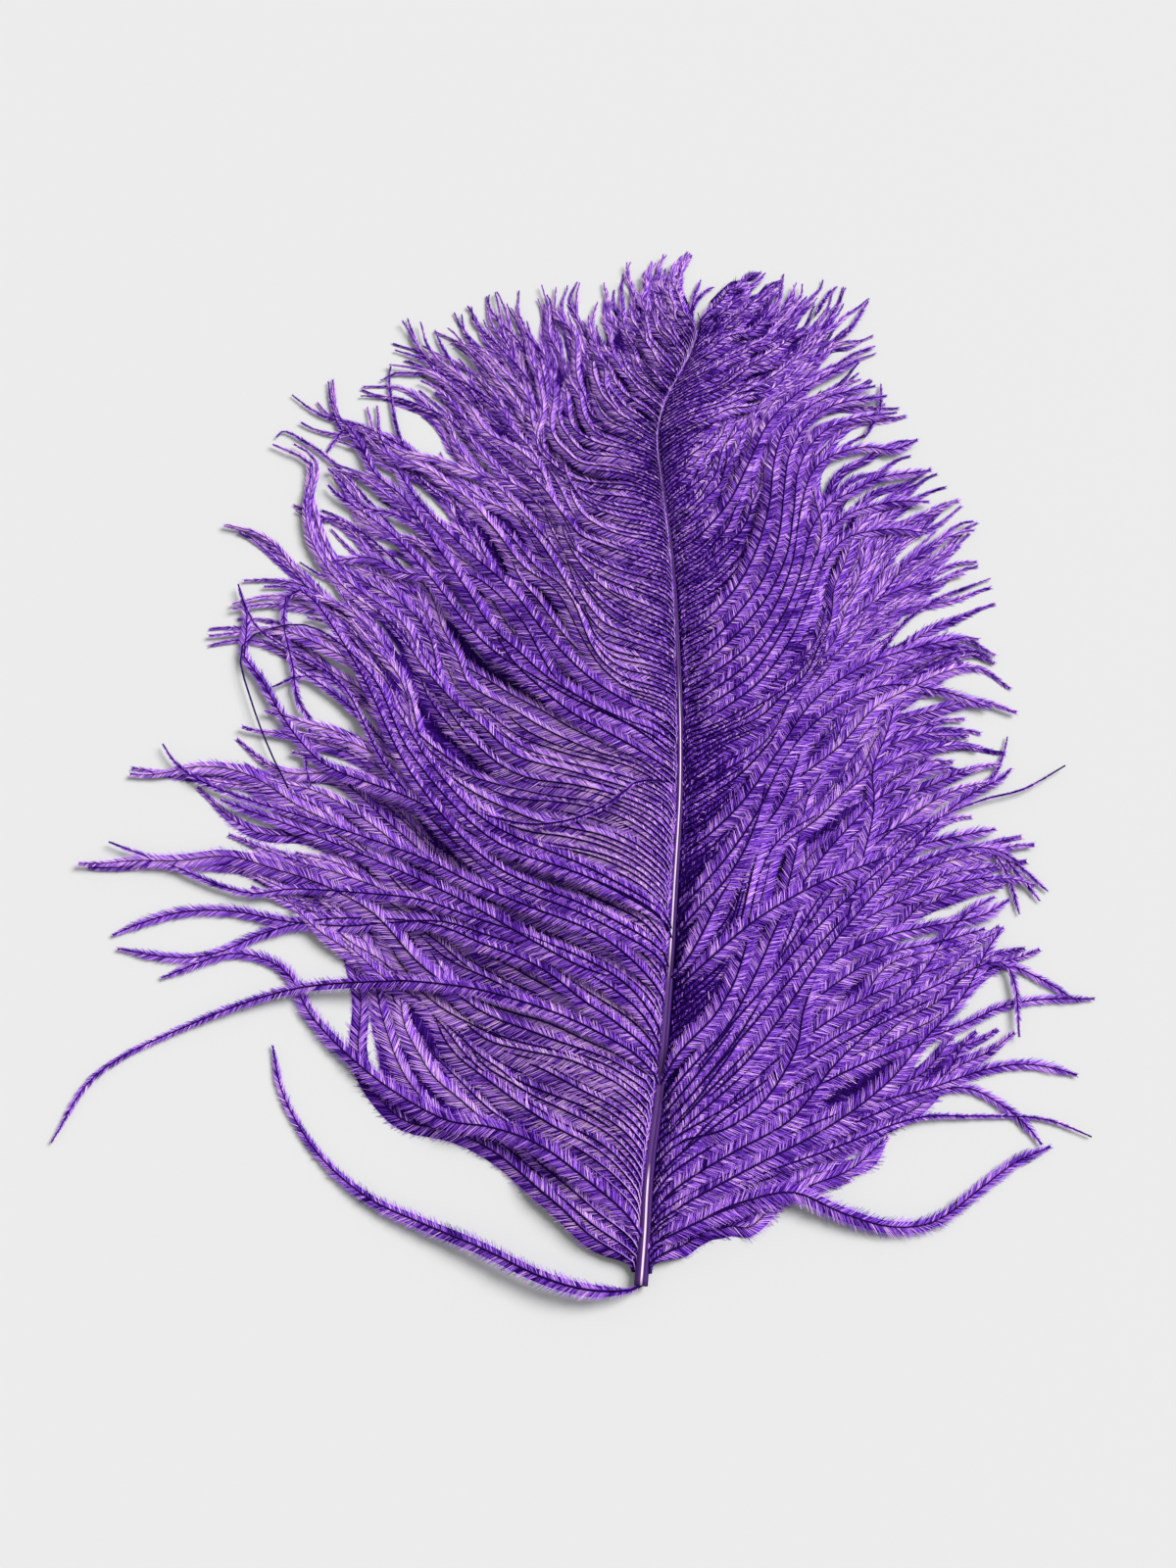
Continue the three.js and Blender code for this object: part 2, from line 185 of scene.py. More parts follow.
RIGHT_LOCKS = (
    (1300, ((672, 1282), (705, 1268), (740, 1254), (775, 1241), (803, 1232))),
    (1280, ((680, 1256), (715, 1240), (755, 1222), (845, 1195), (880, 1178), (907, 1153))),
    (1262, ((683, 1236), (720, 1217), (805, 1183), (890, 1155), (955, 1115), (1012, 1068), (1036, 1048))),
    (1245, ((685, 1218), (722, 1196), (810, 1152), (895, 1122), (948, 1085), (978, 1046))),
    (1228, ((688, 1200), (725, 1175), (812, 1125), (895, 1075), (960, 1030), (1005, 980), (1064, 958))),
    (1212, ((690, 1186), (727, 1160), (812, 1100), (885, 1040), (940, 985), (1018, 942))),
    (1196, ((692, 1170), (730, 1142), (808, 1077), (872, 1005), (940, 945), (1010, 915), (1062, 920))),
    (1180, ((693, 1155), (730, 1125), (803, 1055), (865, 978), (940, 920), (1020, 895), (1066, 908))),
    (1163, ((695, 1138), (730, 1108), (798, 1033), (858, 955), (935, 898), (1015, 866), (1055, 858))),
    (1146, ((697, 1121), (730, 1090), (792, 1013), (850, 935), (920, 872), (975, 828), (1041, 820))),
    (1125, ((695, 1112), (710, 1098), (730, 1075), (762, 1027), (790, 985), (810, 937), (833, 893),
        (880, 845), (950, 803), (1028, 790))),
    (1105, ((697, 1090), (712, 1075), (730, 1052), (752, 1015), (772, 965), (790, 915), (815, 870),
        (860, 835), (915, 795), (978, 790))),
    (1085, ((697, 1068), (708, 1058), (723, 1043), (740, 1020), (757, 980), (768, 920), (780, 880),
        (800, 852), (840, 827), (880, 795), (930, 762), (985, 746), (1030, 753))),
    (1060, ((697, 1048), (715, 1032), (735, 1010), (752, 980), (765, 940), (778, 897), (797, 862),
        (830, 830), (865, 790), (900, 740), (990, 722), (1036, 732))),
    (1048, ((697, 1036), (714, 1021), (733, 1002), (751, 973), (765, 932), (778, 890), (798, 850),
        (832, 805), (868, 765), (905, 735), (960, 722), (1012, 734))),
    (1035, ((697, 1024), (714, 1010), (732, 994), (750, 966), (764, 925), (778, 882), (797, 838),
        (830, 785), (890, 715), (990, 687), (1033, 702))),
    (1000, ((697, 990), (709, 980), (723, 967), (740, 950), (755, 915), (770, 870), (785, 835), (797, 815),
        (817, 768), (837, 737), (873, 703), (920, 680), (975, 662), (1013, 676))),
    (975, ((697, 965), (712, 951), (728, 935), (746, 908), (762, 870), (777, 828), (790, 785), (812, 745),
        (845, 708), (900, 665), (985, 632), (1017, 626))),
    (955, ((697, 943), (707, 933), (723, 917), (740, 898), (753, 877), (770, 840), (780, 800), (788, 757),
        (803, 727), (828, 690), (857, 650), (910, 625), (985, 608), (1011, 604))),
    (930, ((698, 920), (712, 906), (730, 888), (748, 862), (762, 828), (775, 790), (790, 748), (812, 710),
        (850, 668), (920, 618), (975, 583), (997, 577))),
    (895, ((698, 885), (708, 878), (720, 870), (737, 855), (752, 832), (768, 800), (785, 765), (805, 725),
        (828, 690), (865, 650), (925, 597), (980, 558), (1003, 547))),
    (865, ((698, 856), (716, 845), (737, 828), (757, 806), (777, 778), (800, 740), (825, 702), (870, 635),
        (920, 580), (975, 545), (994, 539))),
    (835, ((698, 826), (717, 815), (740, 802), (762, 786), (785, 760), (805, 730), (828, 693), (868, 625),
        (912, 567), (985, 525))),
    (808, ((700, 797), (720, 783), (740, 768), (757, 760), (780, 748), (800, 722), (825, 682), (868, 614),
        (905, 555), (980, 515))),
    (780, ((700, 768), (720, 757), (740, 748), (760, 738), (780, 724), (800, 703), (825, 674), (868, 610),
        (905, 553), (976, 508))),
    (755, ((700, 743), (720, 738), (740, 731), (760, 720), (780, 706), (800, 690), (818, 672), (845, 630),
        (865, 592), (892, 540), (963, 495))),
    (740, ((700, 731), (720, 723), (740, 714), (760, 706), (775, 698), (790, 685), (810, 665), (828, 648),
        (860, 590), (880, 527), (951, 482))),
    (725, ((700, 717), (720, 710), (740, 700), (757, 693), (770, 686), (783, 675), (800, 658), (822, 630),
        (848, 568), (858, 503), (905, 463), (936, 449))),
    (708, ((700, 700), (720, 692), (740, 682), (757, 673), (770, 665), (783, 653), (797, 638), (810, 625),
        (828, 600), (838, 547), (835, 482), (875, 435), (923, 422))),
    (690, ((700, 682), (720, 673), (740, 662), (760, 650), (775, 638), (790, 622), (808, 603), (822, 570),
        (824, 528), (818, 465), (850, 422), (915, 407))),
    (668, ((700, 660), (720, 650), (740, 640), (760, 624), (777, 608), (793, 596), (808, 565), (811, 510),
        (803, 452), (838, 410), (898, 395))),
    (650, ((699, 642), (718, 632), (738, 620), (758, 603), (778, 585), (798, 552), (797, 495), (795, 440),
        (845, 405), (890, 393))),
    (635, ((698, 627), (716, 617), (735, 605), (755, 587), (775, 562), (788, 530), (785, 478), (790, 432),
        (840, 395), (878, 372))),
    (618, ((698, 610), (715, 600), (733, 587), (752, 568), (768, 543), (778, 512), (777, 470), (765, 414))),
    (598, ((697, 590), (713, 580), (730, 566), (747, 548), (760, 525), (768, 483), (782, 437), (825, 398),
        (850, 388))),
    (578, ((695, 571), (710, 562), (727, 549), (743, 527), (755, 500), (763, 460), (780, 420), (822, 390))),
    (558, ((693, 552), (708, 542), (724, 526), (740, 500), (752, 470), (760, 440), (780, 407), (802, 393))),
    (537, ((690, 531), (704, 521), (720, 505), (738, 477), (750, 448), (762, 420), (786, 398))),
    (517, ((690, 506), (707, 491), (735, 455), (755, 418), (772, 400))),
    (495, ((687, 485), (704, 471), (731, 440), (757, 407))),
    (474, ((685, 464), (702, 452), (735, 427), (772, 402), (835, 388), (892, 352))),
    (455, ((683, 446), (701, 436), (745, 417), (797, 392), (850, 362), (890, 342))),
    (438, ((686, 428), (704, 418), (750, 400), (802, 374), (852, 342), (888, 305))),
    (422, ((691, 412), (709, 402), (754, 383), (805, 354), (848, 320), (858, 292))),
    (406, ((697, 396), (714, 386), (758, 366), (804, 336), (835, 302), (842, 286))),
    (390, ((703, 381), (719, 371), (760, 350), (800, 318), (816, 288))),
    (375, ((708, 366), (723, 356), (761, 333), (793, 303), (797, 279))),
    (361, ((713, 352), (727, 341), (760, 317), (797, 284))),
    (348, ((716, 338), (729, 326), (757, 300), (783, 282))),
    (336, ((716, 326), (728, 312), (752, 290), (776, 279))),
)

# The barbs below are each (how full it is near the shaft, how full at its tip, its pixels from the shaft
# to its tip). A barb of fullness 1 has barbules of the full length.

# Barbs that leave their vane and stand clear of it, by the node of the CAD model that each stands for
LOOSE_BARBS = {
    "left_foot_barb": (
        0.8, 0.55, ((655, 1311), (640, 1317), (598, 1316), (550, 1302), (490, 1273), (430, 1248),
        (375, 1222), (325, 1178), (290, 1120), (278, 1067))),
    "left_hanging_barb": (
        0.95, 0.8, ((659, 1270), (640, 1240), (600, 1205), (550, 1168), (500, 1150), (450, 1141),
        (380, 1098), (320, 1040), (295, 995), (262, 976), (225, 975), (165, 998))),
    "left_long_barb": (
        0.7, 0.45, ((673, 1112), (667, 1095), (655, 1082), (640, 1070), (598, 1047), (560, 1031),
        (520, 1018), (480, 1008), (430, 1002), (400, 1001), (300, 1009), (200, 1043), (100, 1095),
        (52, 1166))),
    "left_crossing_barb": (
        0.75, 0.75, ((672, 1092), (667, 1078), (653, 1063), (620, 1037), (598, 1023), (560, 993),
        (530, 977), (490, 962), (450, 945), (400, 938), (329, 938), (270, 952), (220, 973), (175, 977),
        (120, 968))),
    "left_arched_barb": (
        0.75, 0.8, ((675, 1075), (669, 1058), (655, 1035), (630, 1012), (590, 988), (550, 970), (500, 955),
        (450, 940), (390, 942), (350, 945), (290, 940), (240, 930), (190, 930), (150, 940), (115, 954))),
    "right_low_barb": (
        0.9, 0.8, ((657, 1285), (672, 1265), (720, 1242), (760, 1226), (810, 1217), (860, 1238),
        (910, 1252), (955, 1246), (1000, 1213), (1035, 1187), (1072, 1170))),
    "right_straight_barb": (
        0.45, 0.3, ((660, 1268), (680, 1245), (760, 1205), (850, 1172), (930, 1142), (990, 1139),
        (1050, 1140), (1080, 1146), (1114, 1160))),
    "right_bent_barb": (
        0.7, 0.65, ((661, 1255), (682, 1232), (760, 1190), (850, 1155), (940, 1118), (985, 1110),
        (1020, 1126), (1045, 1146), (1063, 1168))),
    "right_short_barb": (
        0.8, 0.75, ((662, 1245), (684, 1220), (760, 1178), (860, 1135), (950, 1110), (1000, 1093),
        (1040, 1086), (1075, 1090), (1099, 1097))),
    "right_long_barb": (
        0.7, 0.65, ((664, 1225), (688, 1195), (760, 1150), (860, 1095), (940, 1062), (985, 1045),
        (1020, 1028), (1060, 1020), (1117, 1019))),
    "right_drooping_barb": (
        0.7, 0.6, ((665, 1215), (690, 1185), (770, 1125), (850, 1070), (930, 1030), (990, 1000),
        (1025, 985), (1060, 998), (1100, 1022))),
}
# Single barbs that cross the others of their vane
STRAY_BARBS = {
    "left": (
        (0.6, 0.5, ((675, 1062), (668, 1040), (640, 1005), (600, 980), (540, 955), (480, 935), (430, 918),
            (380, 912), (300, 907), (260, 912), (220, 902), (180, 885), (150, 874), (111, 859))),
        (0.7, 0.5, ((678, 1030), (672, 1010), (640, 975), (600, 948), (540, 925), (480, 900), (430, 875),
            (330, 840), (250, 815), (205, 797), (180, 780), (166, 759))),
        (0.25, 0.6, ((690, 800), (668, 796), (650, 798), (640, 805), (620, 820), (600, 830), (580, 837),
            (550, 841), (520, 838), (480, 825), (430, 793), (400, 765), (350, 715), (300, 680))),
        (0.6, 0.5, ((683, 990), (670, 965), (600, 925), (500, 880), (420, 790), (370, 690), (320, 612),
            (294, 605), (290, 640), (299, 680), (303, 713), (317, 737), (311, 773), (317, 802))),
        (0.6, 0.3, ((680, 1000), (670, 975), (600, 935), (500, 890), (400, 790), (350, 700), (290, 660),
            (262, 640), (245, 605), (243, 596))),
        (0.5, 0.08, ((686, 960), (672, 935), (600, 895), (500, 855), (420, 770), (380, 690), (320, 640),
            (265, 645), (245, 668), (258, 720), (275, 765), (294, 804))),
        (0.8, 0.7, ((684, 960), (668, 930), (600, 895), (500, 860), (420, 815), (340, 785), (307, 757),
            (282, 721), (266, 692), (250, 672), (250, 656), (252, 630), (244, 600))),
        (0.7, 0.5, ((686, 950), (670, 925), (600, 885), (500, 840), (440, 780), (400, 720), (359, 710),
            (339, 694), (307, 690), (278, 701))),
        (0.9, 0.8, ((690, 775), (665, 755), (640, 738), (600, 716), (560, 692), (530, 665), (500, 638),
            (476, 601), (440, 549), (412, 508), (383, 484), (367, 452), (353, 432))),
        (0.8, 0.6, ((689, 790), (660, 770), (625, 750), (585, 728), (550, 700), (520, 670), (490, 620),
            (440, 549), (403, 525), (371, 517), (347, 490), (335, 478))),
        (0.9, 0.8, ((690, 760), (668, 745), (640, 735), (600, 716), (565, 690), (533, 634), (492, 593),
            (460, 585), (412, 585), (379, 569), (339, 573))),
        (0.8, 0.7, ((690, 745), (665, 728), (640, 716), (600, 690), (560, 650), (520, 600), (475, 560),
            (430, 515), (400, 470), (385, 440))),
        (0.9, 0.8, ((662, 1015), (632, 1000), (590, 985), (535, 955), (470, 918), (400, 885), (340, 860),
            (290, 840), (245, 824), (225, 816))),
        (0.8, 0.7, ((691, 770), (668, 752), (640, 738), (590, 715), (545, 690), (505, 665), (475, 635),
            (440, 590), (400, 545), (345, 505), (335, 495))),
    ),
    "right": (
        (0.6, 0.5, ((665, 1210), (691, 1180), (770, 1118), (850, 1060), (930, 1018), (990, 990),
            (1022, 982), (1036, 1005), (1040, 1058))),
        (0.6, 0.2, ((673, 1130), (700, 1095), (760, 1030), (830, 950), (900, 885), (950, 840), (1000, 817),
            (1045, 805), (1087, 781))),
        (0.9, 0.85, ((667, 1190), (695, 1165), (741, 1152), (781, 1122), (812, 1071), (820, 1030),
            (838, 983), (850, 965), (863, 940), (870, 917), (880, 877), (890, 837), (892, 810), (890, 785),
            (903, 753), (910, 730), (913, 707), (910, 690))),
        (0.9, 0.85, ((672, 1110), (690, 1078), (708, 1058), (730, 1035), (750, 1000), (762, 960),
            (768, 920), (780, 880), (800, 852), (840, 827), (880, 795), (930, 765))),
        (0.9, 0.85, ((690, 955), (707, 933), (740, 898), (762, 862), (777, 820), (783, 780), (788, 757),
            (803, 727), (828, 690), (857, 647), (890, 615), (950, 590))),
        (0.9, 0.85, ((682, 1000), (697, 985), (715, 955), (735, 915), (757, 880), (773, 852), (797, 820),
            (810, 787), (823, 753), (853, 720), (900, 687), (920, 677), (960, 665))),
        (0.9, 0.85, ((675, 1140), (710, 1098), (747, 1050), (777, 1007), (800, 965), (820, 915), (847, 875),
            (880, 845), (940, 810))),
        (0.9, 0.8, ((668, 1180), (690, 1160), (741, 1130), (795, 1090), (815, 1043), (828, 1013),
            (840, 998), (857, 983), (883, 947), (897, 933), (920, 920))),
        (0.9, 0.85, ((690, 1010), (722, 980), (772, 938), (832, 903), (890, 880), (940, 862), (980, 853),
            (1016, 846))),
        (0.9, 0.85, ((676, 1150), (710, 1112), (760, 1052), (820, 990), (880, 940), (930, 915), (969, 902),
            (1010, 895))),
        (0.95, 0.85, ((670, 1200), (705, 1165), (760, 1110), (820, 1060), (880, 1020), (930, 998),
            (969, 984), (1000, 970))),
        (0.9, 0.8, ((690, 930), (715, 905), (745, 870), (775, 825), (800, 775), (840, 730), (900, 700),
            (960, 705), (1010, 722))),
        (0.9, 0.8, ((697, 870), (725, 850), (760, 815), (795, 765), (830, 715), (880, 680), (930, 662),
            (985, 650))),
        (0.7, 0.6, ((697, 560), (720, 540), (745, 510), (765, 470), (785, 430), (815, 400), (845, 383),
            (875, 368))),
        (0.95, 0.9, ((657, 1275), (690, 1258), (740, 1235), (790, 1222), (840, 1205), (870, 1192),
            (900, 1165))),
        (0.95, 0.9, ((676, 1165), (712, 1125), (765, 1070), (815, 1010), (860, 975), (905, 955), (950, 945),
            (1000, 935), (1030, 918))),
        (0.95, 0.9, ((674, 1175), (710, 1140), (765, 1090), (815, 1035), (865, 995), (910, 972), (955, 962),
            (1005, 948))),
        (0.95, 0.9, ((682, 1120), (715, 1085), (755, 1035), (795, 980), (830, 925), (858, 885), (880, 862),
            (915, 845), (955, 838))),
        (0.9, 0.7, ((680, 1150), (712, 1110), (760, 1055), (810, 995), (860, 938), (915, 893), (970, 868),
            (1012, 866), (1043, 882))),
        (0.9, 0.85, ((690, 1150), (720, 1122), (760, 1085), (795, 1040), (840, 975), (885, 920), (930, 869),
            (965, 830), (996, 807), (1019, 796), (1032, 784))),
        (0.9, 0.85, ((690, 1130), (720, 1100), (755, 1055), (785, 1005), (820, 950), (860, 895), (903, 853),
            (934, 830), (957, 815))),
        (0.9, 0.85, ((690, 1110), (718, 1080), (750, 1035), (775, 985), (800, 930), (835, 880), (865, 845),
            (896, 815), (919, 803), (942, 788), (968, 784))),
        (1.0, 0.9, ((664, 1235), (700, 1205), (750, 1175), (807, 1142), (852, 1086), (903, 1036),
            (943, 990), (965, 955), (990, 930), (1015, 915))),
        (1.0, 0.9, ((660, 1255), (700, 1228), (760, 1195), (842, 1152), (903, 1107), (943, 1061),
            (983, 1016), (1004, 975), (1020, 950))),
        (0.8, 0.7, ((698, 690), (728, 668), (758, 640), (785, 605), (803, 565), (810, 520), (815, 478),
            (835, 445), (868, 428), (915, 421))),
        (0.8, 0.7, ((698, 675), (728, 652), (756, 622), (780, 588), (795, 545), (800, 500), (806, 462),
            (826, 430), (855, 412), (905, 404))),
        (0.8, 0.7, ((697, 650), (725, 628), (752, 598), (772, 560), (785, 515), (790, 470), (802, 436),
            (830, 412), (862, 400), (893, 394))),
        (0.8, 0.75, ((700, 735), (730, 715), (765, 690), (795, 650), (820, 600), (835, 560), (847, 540),
            (869, 523), (911, 512), (948, 512))),
        (0.8, 0.75, ((700, 745), (735, 725), (775, 695), (805, 655), (825, 610), (838, 580), (862, 550),
            (907, 540), (946, 544))),
        (0.8, 0.75, ((700, 722), (730, 702), (765, 675), (795, 635), (815, 590), (826, 545), (844, 516),
            (869, 502), (900, 487), (950, 480))),
        (0.8, 0.75, ((700, 705), (730, 685), (762, 660), (790, 620), (808, 575), (815, 530), (826, 487),
            (847, 466), (883, 456), (911, 459), (936, 449))),
        (0.9, 0.8, ((676, 1160), (720, 1110), (770, 1030), (805, 900), (823, 818), (833, 798), (843, 778),
            (852, 758), (865, 725))),
    ),
}

# Thin tips that come out from under the vanes and lie crosswise at their edges, in pixels
TWIGS = {
    "left": (
        ((520, 420), (480, 395), (445, 373), (428, 365), (403, 357)),
        ((490, 420), (450, 385), (430, 360), (422, 343), (416, 325)),
        ((520, 430), (480, 395), (456, 362), (448, 347), (444, 337)),
        ((540, 410), (510, 380), (486, 357), (474, 337), (471, 321)),
        ((550, 400), (520, 365), (495, 340), (484, 327), (481, 313)),
        ((560, 400), (530, 350), (508, 326), (499, 312), (499, 301)),
        ((500, 430), (475, 395), (448, 381), (424, 381), (404, 381), (389, 388)),
        ((490, 460), (460, 430), (428, 414), (404, 406), (383, 404), (368, 404)),
        ((470, 520), (430, 490), (408, 446), (400, 412), (397, 387), (399, 373)),
        ((470, 490), (410, 455), (370, 435), (341, 428), (320, 419), (298, 403)),
        ((440, 500), (390, 460), (350, 440), (338, 410), (335, 389)),
        ((420, 560), (370, 505), (338, 470), (307, 448), (290, 440), (282, 446)),
        ((370, 462), (353, 440), (343, 448), (333, 462)),
        ((430, 600), (390, 560), (350, 532), (318, 530), (302, 521)),
        ((450, 700), (400, 640), (365, 600), (330, 588), (306, 574)),
    ),
    "right": (
        ((1005, 868), (1020, 868), (1036, 880), (1069, 909)),
        ((1003, 868), (1018, 870), (1034, 886), (1061, 919)),
        ((1000, 868), (1016, 874), (1030, 897), (1040, 932)),
        ((880, 900), (930, 852), (965, 826), (996, 808), (1015, 790), (1024, 769), (1028, 752)),
        ((860, 890), (900, 830), (930, 790), (950, 769), (965, 752)),
        ((900, 740), (945, 690), (988, 669), (1015, 677)),
        ((860, 740), (910, 650), (950, 615), (985, 600), (1011, 590)),
        ((880, 450), (892, 430), (898, 417), (899, 392)),
        ((850, 375), (870, 362), (893, 353)),
        ((850, 350), (868, 335), (886, 307)),
        ((830, 325), (844, 302), (854, 292)),
        ((705, 345), (704, 325), (708, 304), (715, 286)),
        ((705, 335), (708, 312), (720, 297), (728, 293)),
    ),
}

SEED = 11
STATIONS = 44  # places along a barb where its route, height and width are worked out
ALONG = np.linspace(0, 1, STATIONS)
FINE_ALONG = np.linspace(0, 1, 2 * STATIONS)  # for the routes before they are cut to length
PIXEL = 0.252 * MM  # what a pixel of the photograph spans on the table, near the middle of the plume

# ---- curves and noise ----

CURVE_STEPS = 16  # places worked out between two points of a route
SHORTEST_VECTOR = 1e-12
OCTAVES = (1.0, 0.5, 0.25)  # the sizes of the swings that make up smooth noise
OCTAVE_RATE = 1.9  # how many times faster each swings than the one before it
RATE_SPREAD = (0.8, 1.2)  # how much faster or slower a curve swings than asked
NOISE_SIZE = 1.1  # the size of their sum, about
HASH_RATE = 12.9898
HASH_SALT_RATE = 78.233
HASH_SIZE = 43758.5453


def evenly(curve, count):
    """The curve again, as count places with the same distance between neighbours."""
    steps = np.linalg.norm(np.diff(curve, axis=0), axis=1)
    travelled = np.concatenate(([0.0], np.cumsum(steps)))
    wanted = np.linspace(0, travelled[-1], count)
    return np.stack([np.interp(wanted, travelled, values) for values in curve.T], axis=1)


def smooth_route(points, count):
    """count places, evenly spaced, on a smooth curve through the points."""
    points = np.asarray(points, float)
    ends = np.vstack((2 * points[0] - points[1], points, 2 * points[-1] - points[-2]))
    t = np.linspace(0, 1, CURVE_STEPS, endpoint=False)[:, None]
    pieces = []
    for before, start, stop, after in zip(ends, ends[1:], ends[2:], ends[3:]):
        pieces.append(0.5 * (
            2 * start + (stop - before) * t
            + (2 * before - 5 * start + 4 * stop - after) * t ** 2
            + (3 * start - before - 3 * stop + after) * t ** 3))
    return evenly(np.vstack(pieces + [points[-1:]]), count)


def distances(routes):
    """How far along each barb every station is, in metres, for routes in pixels."""
    steps = np.linalg.norm(np.diff(routes, axis=1), axis=2) * PIXEL
    return np.concatenate((np.zeros((len(routes), 1)), np.cumsum(steps, axis=1)), axis=1)


def unit(vectors):
    return vectors / np.maximum(np.linalg.norm(vectors, axis=-1, keepdims=True), SHORTEST_VECTOR)


def smoothstep(low, high, value):
    t = np.clip((value - low) / (high - low), 0, 1)
    return t * t * (3 - 2 * t)


def faded(fade, place):
    """1, less the share that has been lost at this place."""
    share, start, end = fade
    return 1 - share * smoothstep(start, end, place)


def grown(growth, place):
    """The share of the full size that has been reached at this place."""
    share, start, end = growth
    return share + (1 - share) * smoothstep(start, end, place)


def bell(distance, width):
    """1 at no distance, falling smoothly to nothing a few widths away."""
    return np.exp(-(distance / width) ** 2)


def profile(pairs, place):
    """The value at a place, read from a row of (place, value) pairs."""
    places, values = zip(*pairs)
    return np.interp(place, places, values)


def smooth_noise(rng, curves, along, cycles):
    """Smooth random curves, one a row, of about unit size, that swing this many times along a barb."""
    total = np.zeros((curves, len(along)))
    for octave, size in enumerate(OCTAVES):
        rate = cycles * OCTAVE_RATE ** octave * rng.uniform(*RATE_SPREAD, (curves, 1))
        phase = rng.uniform(0, 2 * math.pi, (curves, 1))
        total += size * rng.choice((-1, 1), (curves, 1)) * np.sin(2 * math.pi * rate * along + phase)
    return total / NOISE_SIZE


def hashed(number, salt):
    """A repeatable value from -1 to 1 for each whole number."""
    mixed = np.sin(number * HASH_RATE + salt * HASH_SALT_RATE) * HASH_SIZE
    return 2 * (mixed - np.floor(mixed)) - 1


# ---- places along the shaft ----

# Rows are the photograph's own, so they get smaller from the foot of the plume to its tip.
FOOT_ROW = 1300
TIP_ROW = 330
FOOT_SPACING = 9.0  # pixels between barbs, along the shaft, at its foot
TIP_SPACING = 3.5  # and at its tip
SHAFT_PLACES = 400
# Row, and the shaft's width there in mm
SHAFT_WIDTHS = ((319, 0.25), (450, 0.55), (600, 1.1), (850, 2.2), (1000, 2.6), (1150, 3.0), (1312, 3.3))
# How far up the plume, from 0 to 1, and in mm over the table: the middle of the shaft, which arches a
# little, and the barbs where they have left the valley beside it
SHAFT_HEIGHTS = ((0, 2.1), (0.15, 2.8), (0.45, 3.5), (0.7, 3.1), (1.0, 1.9))
CREST_HEIGHTS = ((0, 4.0), (0.12, 6.2), (0.35, 8.0), (0.7, 6.4), (1.0, 4.0))

shaft_curve = smooth_route(SHAFT_ROUTE, SHAFT_PLACES)


def shaft_pixel(row):
    """The place on the shaft's middle line at this row of the photograph."""
    return np.interp(-row, -shaft_curve[:, 1], shaft_curve[:, 0]), row


def plumeness(row):
    """0 at the foot of the plume and 1 at its tip."""
    return np.clip((FOOT_ROW - row) / (FOOT_ROW - TIP_ROW), 0, 1)


def shaft_height(row):
    return profile(SHAFT_HEIGHTS, plumeness(row)) * MM


def crest_height(row):
    return profile(CREST_HEIGHTS, plumeness(row)) * MM


def shaft_width(row):
    return profile(SHAFT_WIDTHS, row) * MM


def barb_rows():
    """The rows where barbs leave the shaft, from its foot to its tip."""
    rows = [FOOT_ROW]
    while rows[-1] > TIP_ROW:
        rows.append(rows[-1] - (FOOT_SPACING + (TIP_SPACING - FOOT_SPACING) * plumeness(rows[-1])))
    return np.array(rows)


# ---- routes and heights of barbs ----

LOCKS = {"left": LEFT_LOCKS, "right": RIGHT_LOCKS}
SIDES = {"left": -1, "right": 1}  # of the shaft or of a barb, seen from its root
ROOT_PLACE = 1.1  # how far from the shaft's middle the barbs leave it, as a share of its half width
LOCK_SPREAD = 24.0  # pixels between the outer barbs of a lock
OWN_SPREAD = 3.5  # pixels by which a barb lies off its place in the lock
OWN_SWING = 4.5  # pixels by which it swings from side to side
OWN_SWINGS = 1.8  # how many times it does
LOCK_SWING = 6.0  # and the same for its whole lock
LOCK_SWINGS = 1.2
SWING_ALONG = (0.06, 0.5)
FORK = 8.0  # pixels by which the tips of a lock part
FORK_ALONG = (0.72, 1.05)
CROSSING = 0.3  # the share of barbs that cross over into the next lock
CLOSING = {"left": (0.6, 0.96), "right": (0.32, 0.82)}  # how far barbs close in on their lock
CLOSING_ALONG = (0.34, 0.88)
GATHERING = 0.8  # how much of its place beside the lock's middle a barb has given up at its tip
LONG_BARB = 80 * MM  # barbs of this length and more swing and part in full
CALMEST = 0.2  # the shortest do by this share of it
MIDDLE_OF_LOCK = 0.2  # barbs this close to the middle of their lock, of 0.5, reach its tip
OTHER_REACH = (0.76, 1.0)  # the others reach this share of its length

LOCK_LIFT = 0.7 * MM  # how much the locks lie over and under each other
LOCK_LIFT_SWINGS = 0.9
BARB_LIFT = 0.55 * MM  # and the barbs of a lock
BARB_LIFT_SWINGS = 1.1
STEADY_LIFT = 0.8  # the part of a barb's lift that is the same from root to tip, against the rest
LIFT_ALONG = (0.02, 0.25)
DIVING_SHARE = 0.38  # of the barbs dive under their neighbours somewhere beyond the crest
DIVE = 1.9 * MM
DIVE_FROM = (10, 36)  # mm from the shaft
DIVE_LENGTH = 9 * MM
DIVE_FADE = (1, 0.55, 0.9)
TIP_HEIGHT = 1.0 * MM
FALL_ALONG = (0.05, 0.75)
CREST_REACH = 7.0 * MM  # the distance in which the barbs climb out of the valley beside the shaft
FLOOR_CLEARANCE = 0.15 * MM
LOWEST_BARB = 3 * FLOOR_CLEARANCE


def beside_shaft(routes, side):
    """Routes that keep clear of the shaft: they leave it from its side."""
    rows = routes[..., 1]
    middle, _ = shaft_pixel(rows)
    aside = (routes[..., 0] - middle) * side
    clear = shaft_width(rows) / PIXEL / 2 * ROOT_PLACE
    beyond_tip = rows < SHAFT_ROUTE[-1][1]
    aside = np.where(beyond_tip, aside, np.maximum(aside, clear))
    return np.stack((middle + side * aside, rows), axis=-1)


